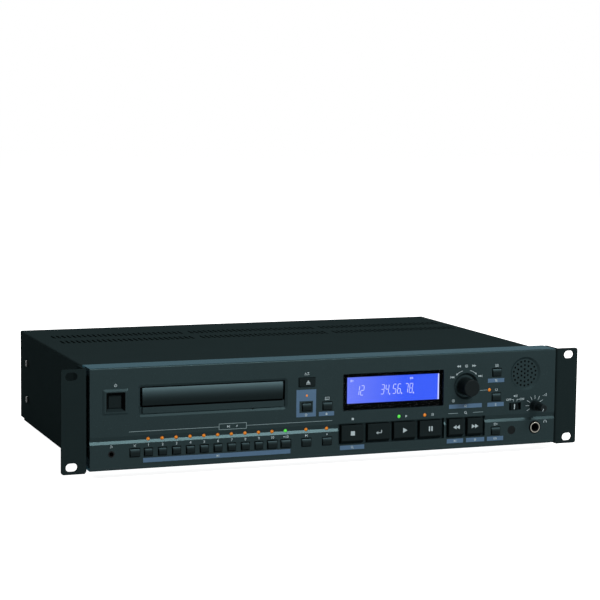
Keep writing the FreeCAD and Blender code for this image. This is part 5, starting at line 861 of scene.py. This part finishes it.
    def figure(self, bm, figure, x, sizes):
        """One slanted seven-segment figure."""
        w, t, s = sizes.digit_width, sizes.digit_height, sizes.segment
        half = t / 2
        gap = s * self.SEGMENT_GAP
        lines = {
            "a": ((gap, t), (w - gap, t)), "g": ((gap, half), (w - gap, half)),
            "d": ((gap, 0), (w - gap, 0)), "f": ((0, half + gap), (0, t - gap)),
            "b": ((w, half + gap), (w, t - gap)), "e": ((0, gap), (0, half - gap)),
            "c": ((w, gap), (w, half - gap)),
        }
        for key in self.SEGMENTS[figure]:
            points = [(x + a + self.SLANT * b, self.FOOT_HEIGHT + b) for a, b in lines[key]]
            stroke(bm, points, s, *self.CELL_DEPTHS)


class PLAYER_OT_fit_rings(bpy.types.Operator):
    """Fit the phones nut and the metal and coloured parts of the rear sockets"""

    bl_idname = "player.fit_rings"
    bl_label = "Rings and contacts"

    # Turned profiles of (radius, depth).
    PHONES_NUT = ((4.05, -0.95), (4.2, -1.1), (4.55, -1.1), (4.75, -0.95), (4.75, 0.6), (4.05, 0.6))
    OUTPUT_RIM = ((8.02, 284.9), (8.02, 285.06), (10.9, 285.06), (10.9, 284.9))
    OUTPUT_PIN = (
        (0.02, 282.44), (0.02, 282.56), (0.95, 282.56), (1.26, 282.25), (1.26, 271.4), (1.21, 271.4),
        (1.21, 282.2), (0.93, 282.44),
    )
    PHONO_CONTACT = ((4.16, 284.6), (4.28, 284.6), (4.28, 291.45), (4.16, 291.45))
    PHONO_RING = ((4.3, 284.5), (4.3, 284.62), (5.3, 284.62), (5.3, 284.5))
    # Places of the sockets on the rear panel.
    OUTPUTS_X = (-177.0, -143.0)
    OUTPUTS_HEIGHT = 46.0
    PIN_CIRCLE = 4.0
    PHONO_X = -70.0
    PHONOS = (("white", "d8d8d2", 50.0), ("red", "b3221c", 34.0))
    # The data socket's shell: outline, wall, corner radius and depths.
    SHELL = (-19.7, 19.7, 37.7, 46.3)
    SHELL_WALL = 0.08
    SHELL_RADIUS = 2.6
    SHELL_DEPTHS = (283.05, 288.0)
    # The mains inlet's blades: places, half sizes and depths.
    BLADES = ((171.0, 38.0), (178.0, 42.0), (185.0, 38.0))
    BLADE_HALVES = (1.05, 2.55)
    BLADE_DEPTHS = (269.6, 281.05)

    def execute(self, context):
        # Nickel-plated brass: warm grey metal, brushed a little by handling.
        nickel = finish("brass_nickel_plated", "a8a69c", 0.3, grain=1.0, relief=0.002, tone=0.06,
                        metallic=1.0)
        bm = bmesh.new()
        turned(bm, *centre_of("phones_jack")[:2], self.PHONES_NUT)
        keep_piece("phones_nut", bm, nickel, "case")
        bm = bmesh.new()
        for x in self.OUTPUTS_X:
            turned(bm, x, self.OUTPUTS_HEIGHT, self.OUTPUT_RIM)
            for a, b in circle(x, self.OUTPUTS_HEIGHT, self.PIN_CIRCLE, 3):
                turned(bm, a, b, self.OUTPUT_PIN, 16)
        for *_, height in reversed(self.PHONOS):
            turned(bm, self.PHONO_X, height, self.PHONO_CONTACT, 32)
        ring(bm, self.shell(0), self.shell(self.SHELL_WALL), *self.SHELL_DEPTHS)
        across, tall = self.BLADE_HALVES
        for x, height in self.BLADES:
            prism(bm, rectangle(x - across, x + across, height - tall, height + tall), *self.BLADE_DEPTHS)
        keep_piece("rear_contacts", bm, nickel, "case")
        for name, code, height in self.PHONOS:
            bm = bmesh.new()
            turned(bm, self.PHONO_X, height, self.PHONO_RING, 32)
            # Dyed nylon: plain bright colour with a soft gloss.
            nylon = finish("nylon_moulded_" + name, code, 0.4, grain=0.6, relief=0.012)
            keep_piece("phono_ring_" + name, bm, nylon)
        return {"FINISHED"}

    def shell(self, inset):
        """Outline of the data socket's shell with round corners, smaller by an inset."""
        x0, x1, h0, h1 = self.SHELL
        radius = self.SHELL_RADIUS
        reach = radius + inset
        corners = ((x0 + reach, h1 - reach, 270), (x1 - reach, h1 - reach, 0),
                   (x1 - reach, h0 + reach, 90), (x0 + reach, h0 + reach, 180))
        points = []
        for x, height, start in corners:
            points += arc(x, height, radius, start, start + 90, 5)
        return points


class PLAYER_OT_dress_drive(bpy.types.Operator):
    """Finish the tray, the drive and the boards inside"""

    bl_idname = "player.dress_drive"
    bl_label = "Drive and boards"

    def execute(self, context):
        # Moulded ABS: dark grey, with a soft shine in the disc's wells.
        dress(["disc_tray"], "abs_moulded_tray", "17191a", 0.5, specular=0.12)
        # Moulded acetal: waxy and even, white on the gear and grey on the clamper.
        dress(["tray_gear"], "acetal_moulded_white", "dcdcd6", 0.4, relief=0.004)
        dress(["disc_clamper"], "acetal_moulded_grey", "4a4d4c", 0.4, relief=0.004)
        # Glass-filled polycarbonate: black, with a slight sheen on its ribs.
        dress(["lift_frame", "turntable", "pickup_sled"], "polycarbonate_moulded_black", "141516", 0.4,
              relief=0.008)
        # Glass laminate under green solder resist: even, glossy, with a faint weave.
        dress(["main_board", "power_supply"], "laminate_solder_masked", "1d5a34", 0.3, grain=0.5,
              relief=0.003, tone=0.1)
        # Black solder resist, as painted shade for the gaps of the front, so that nothing shows through them.
        dress(["front_board"], "laminate_masked_black", "0a0c0b", 0.5, grain=0.5, relief=0.003, specular=0.1)
        return {"FINISHED"}


class PLAYER_OT_set_stage(bpy.types.Operator):
    """Set the floor, the even light, the lamps and the camera"""

    bl_idname = "player.set_stage"
    bl_label = "Studio"

    CAMERA = (-589.77, -1458.70, 268.19)
    TARGET = (5.994, 95.6, 84.394)
    ROLL = 0.631
    # Lamps: name, place, target and size in metres.
    LAMPS = (
        ("key_lamp", (0.68, -1.68, 1.79), (0.0, 0.05, 0.0), (1.2, 0.4)),
        ("front_lamp", (1.1, -2.8, 0.46), (0.0, 0.05, 0.0), (1.8, 0.55)),
        ("rear_lamp", (-0.6, 2.8, 1.2), (0.0, 0.1, 0.0), (1.6, 1.0)),
    )
    FLOOR = ((-6, -6), (6, -6), (6, 9), (-6, 9))

    def execute(self, context):
        stage = settings()[3]
        self.set_floor()
        self.set_world(stage)
        for lamp, power in zip(self.LAMPS, (stage.key, stage.front, stage.rear)):
            self.set_lamp(*lamp, power)
        self.set_camera(stage)
        view = context.scene.view_settings
        view.view_transform = "Standard"
        return {"FINISHED"}

    def seen_rays(self, tree):
        """Two values: 1 for camera rays, and 1 for camera, glossy and transmission rays."""
        path = add(tree, "LightPath")
        camera = path.outputs["Is Camera Ray"]
        first = add(tree, "Math", {0: camera, 1: path.outputs["Is Glossy Ray"]}, operation="MAXIMUM")
        both = add(tree, "Math", {0: first.outputs[0], 1: path.outputs["Is Transmission Ray"]},
                   operation="MAXIMUM")
        return camera, both.outputs[0]

    def set_floor(self):
        """Paper that glows nearly white with a faint shadow, mirrors as white and lights as grey."""
        bm = bmesh.new()
        bm.faces.new([bm.verts.new((x, y, FLOOR_Z)) for x, y in self.FLOOR])
        mesh = bpy.data.meshes.new("floor")
        bm.to_mesh(mesh)
        bm.free()
        floor = bpy.data.objects.new("floor", mesh)
        bpy.context.scene.collection.objects.link(floor)
        material = blank_material("paper_studio_white")
        tree = material.node_tree
        camera, seen = self.seen_rays(tree)
        plain = add(tree, "BsdfDiffuse", {"Color": linear("b8b8b8")})
        white = add(tree, "Emission")
        glow = add(tree, "Emission", {"Strength": 0.88})
        shade = add(tree, "BsdfDiffuse", {"Color": (0.95, 0.95, 0.95, 1)})
        lit = add(tree, "AddShader", {0: glow.outputs[0], 1: shade.outputs[0]})
        shown = add(tree, "MixShader", {0: camera, 1: white.outputs[0], 2: lit.outputs[0]})
        mixed = add(tree, "MixShader", {0: seen, 1: plain.outputs[0], 2: shown.outputs[0]})
        add(tree, "OutputMaterial", {"Surface": mixed.outputs[0]})
        mesh.materials.append(material)

    def set_world(self, stage):
        """White where it is seen or mirrored, and a weaker even light elsewhere."""
        world = bpy.data.worlds.new("studio")
        bpy.context.scene.world = world
        world.use_nodes = True
        tree = world.node_tree
        tree.nodes.clear()
        even = add(tree, "Background", {"Color": (1, 1, 1, 1), "Strength": stage.world})
        white = add(tree, "Background", {"Color": (1, 1, 1, 1), "Strength": 1.0})
        seen = self.seen_rays(tree)[1]
        mixed = add(tree, "MixShader", {0: seen, 1: even.outputs[0], 2: white.outputs[0]})
        add(tree, "OutputWorld", {"Surface": mixed.outputs[0]})

    def set_lamp(self, name, position, target, size, power):
        """Rectangular lamp that faces its target."""
        lamp = bpy.data.lights.new(name, "AREA")
        lamp.shape = "RECTANGLE"
        lamp.size, lamp.size_y = size
        lamp.energy = power
        holder = bpy.data.objects.new(name, lamp)
        direction = Vector(target) - Vector(position)
        aim = direction.to_track_quat("-Z", "Y").to_matrix().to_4x4()
        holder.matrix_world = Matrix.Translation(position) @ aim
        bpy.context.scene.collection.objects.link(holder)

    def set_camera(self, stage):
        """Camera aimed at its target and rolled a little."""
        data = bpy.data.cameras.new("camera")
        data.lens = stage.lens
        data.sensor_width = 36.0
        camera = bpy.data.objects.new("camera", data)
        position = Vector(self.CAMERA) * MM
        ahead = (Vector(self.TARGET) * MM - position).normalized()
        right = ahead.cross(Vector((0, 0, 1))).normalized()
        up = right.cross(ahead)
        roll = math.radians(self.ROLL)
        turned_right = right * math.cos(roll) + up * math.sin(roll)
        turned_up = up * math.cos(roll) - right * math.sin(roll)
        axes = Matrix((turned_right, turned_up, -ahead)).transposed().to_4x4()
        camera.matrix_world = Matrix.Translation(position) @ axes
        bpy.context.scene.collection.objects.link(camera)
        bpy.context.scene.camera = camera


OPERATORS = (
    PLAYER_OT_dress_case, PLAYER_OT_dress_front, PLAYER_OT_light_lamps, PLAYER_OT_print_strips,
    PLAYER_OT_print_marks, PLAYER_OT_mark_keys, PLAYER_OT_fill_display, PLAYER_OT_fit_rings,
    PLAYER_OT_dress_drive, PLAYER_OT_set_stage,
)


class PLAYER_PT_player(bpy.types.Panel):
    """Sizes, colours and steps of the disc player"""

    bl_label = "Disc Player"
    bl_space_type = "VIEW_3D"
    bl_region_type = "UI"
    bl_category = "Disc Player"

    def draw(self, context):
        for group in settings():
            box = self.layout.box()
            for name in group.bl_rna.properties.keys():
                if name not in {"rna_type", "name"}:
                    box.prop(group, name)
        for operator in OPERATORS:
            self.layout.operator(operator.bl_idname)


GROUPS = {
    "player_finish": FinishColours, "player_marks": MarkSizes,
    "player_display": DisplaySizes, "player_stage": StageSettings,
}


def register():
    for cls in (*GROUPS.values(), *OPERATORS, PLAYER_PT_player):
        bpy.utils.register_class(cls)
    for name, group in GROUPS.items():
        setattr(bpy.types.Scene, name, PointerProperty(type=group))


def unregister():
    for name in GROUPS:
        delattr(bpy.types.Scene, name)
    for cls in (PLAYER_PT_player, *reversed(OPERATORS), *reversed(list(GROUPS.values()))):
        bpy.utils.unregister_class(cls)


def main():
    register()
    for operator in OPERATORS:
        group, name = operator.bl_idname.split(".")
        getattr(getattr(bpy.ops, group), name)()


if __name__ == "__main__":
    main()
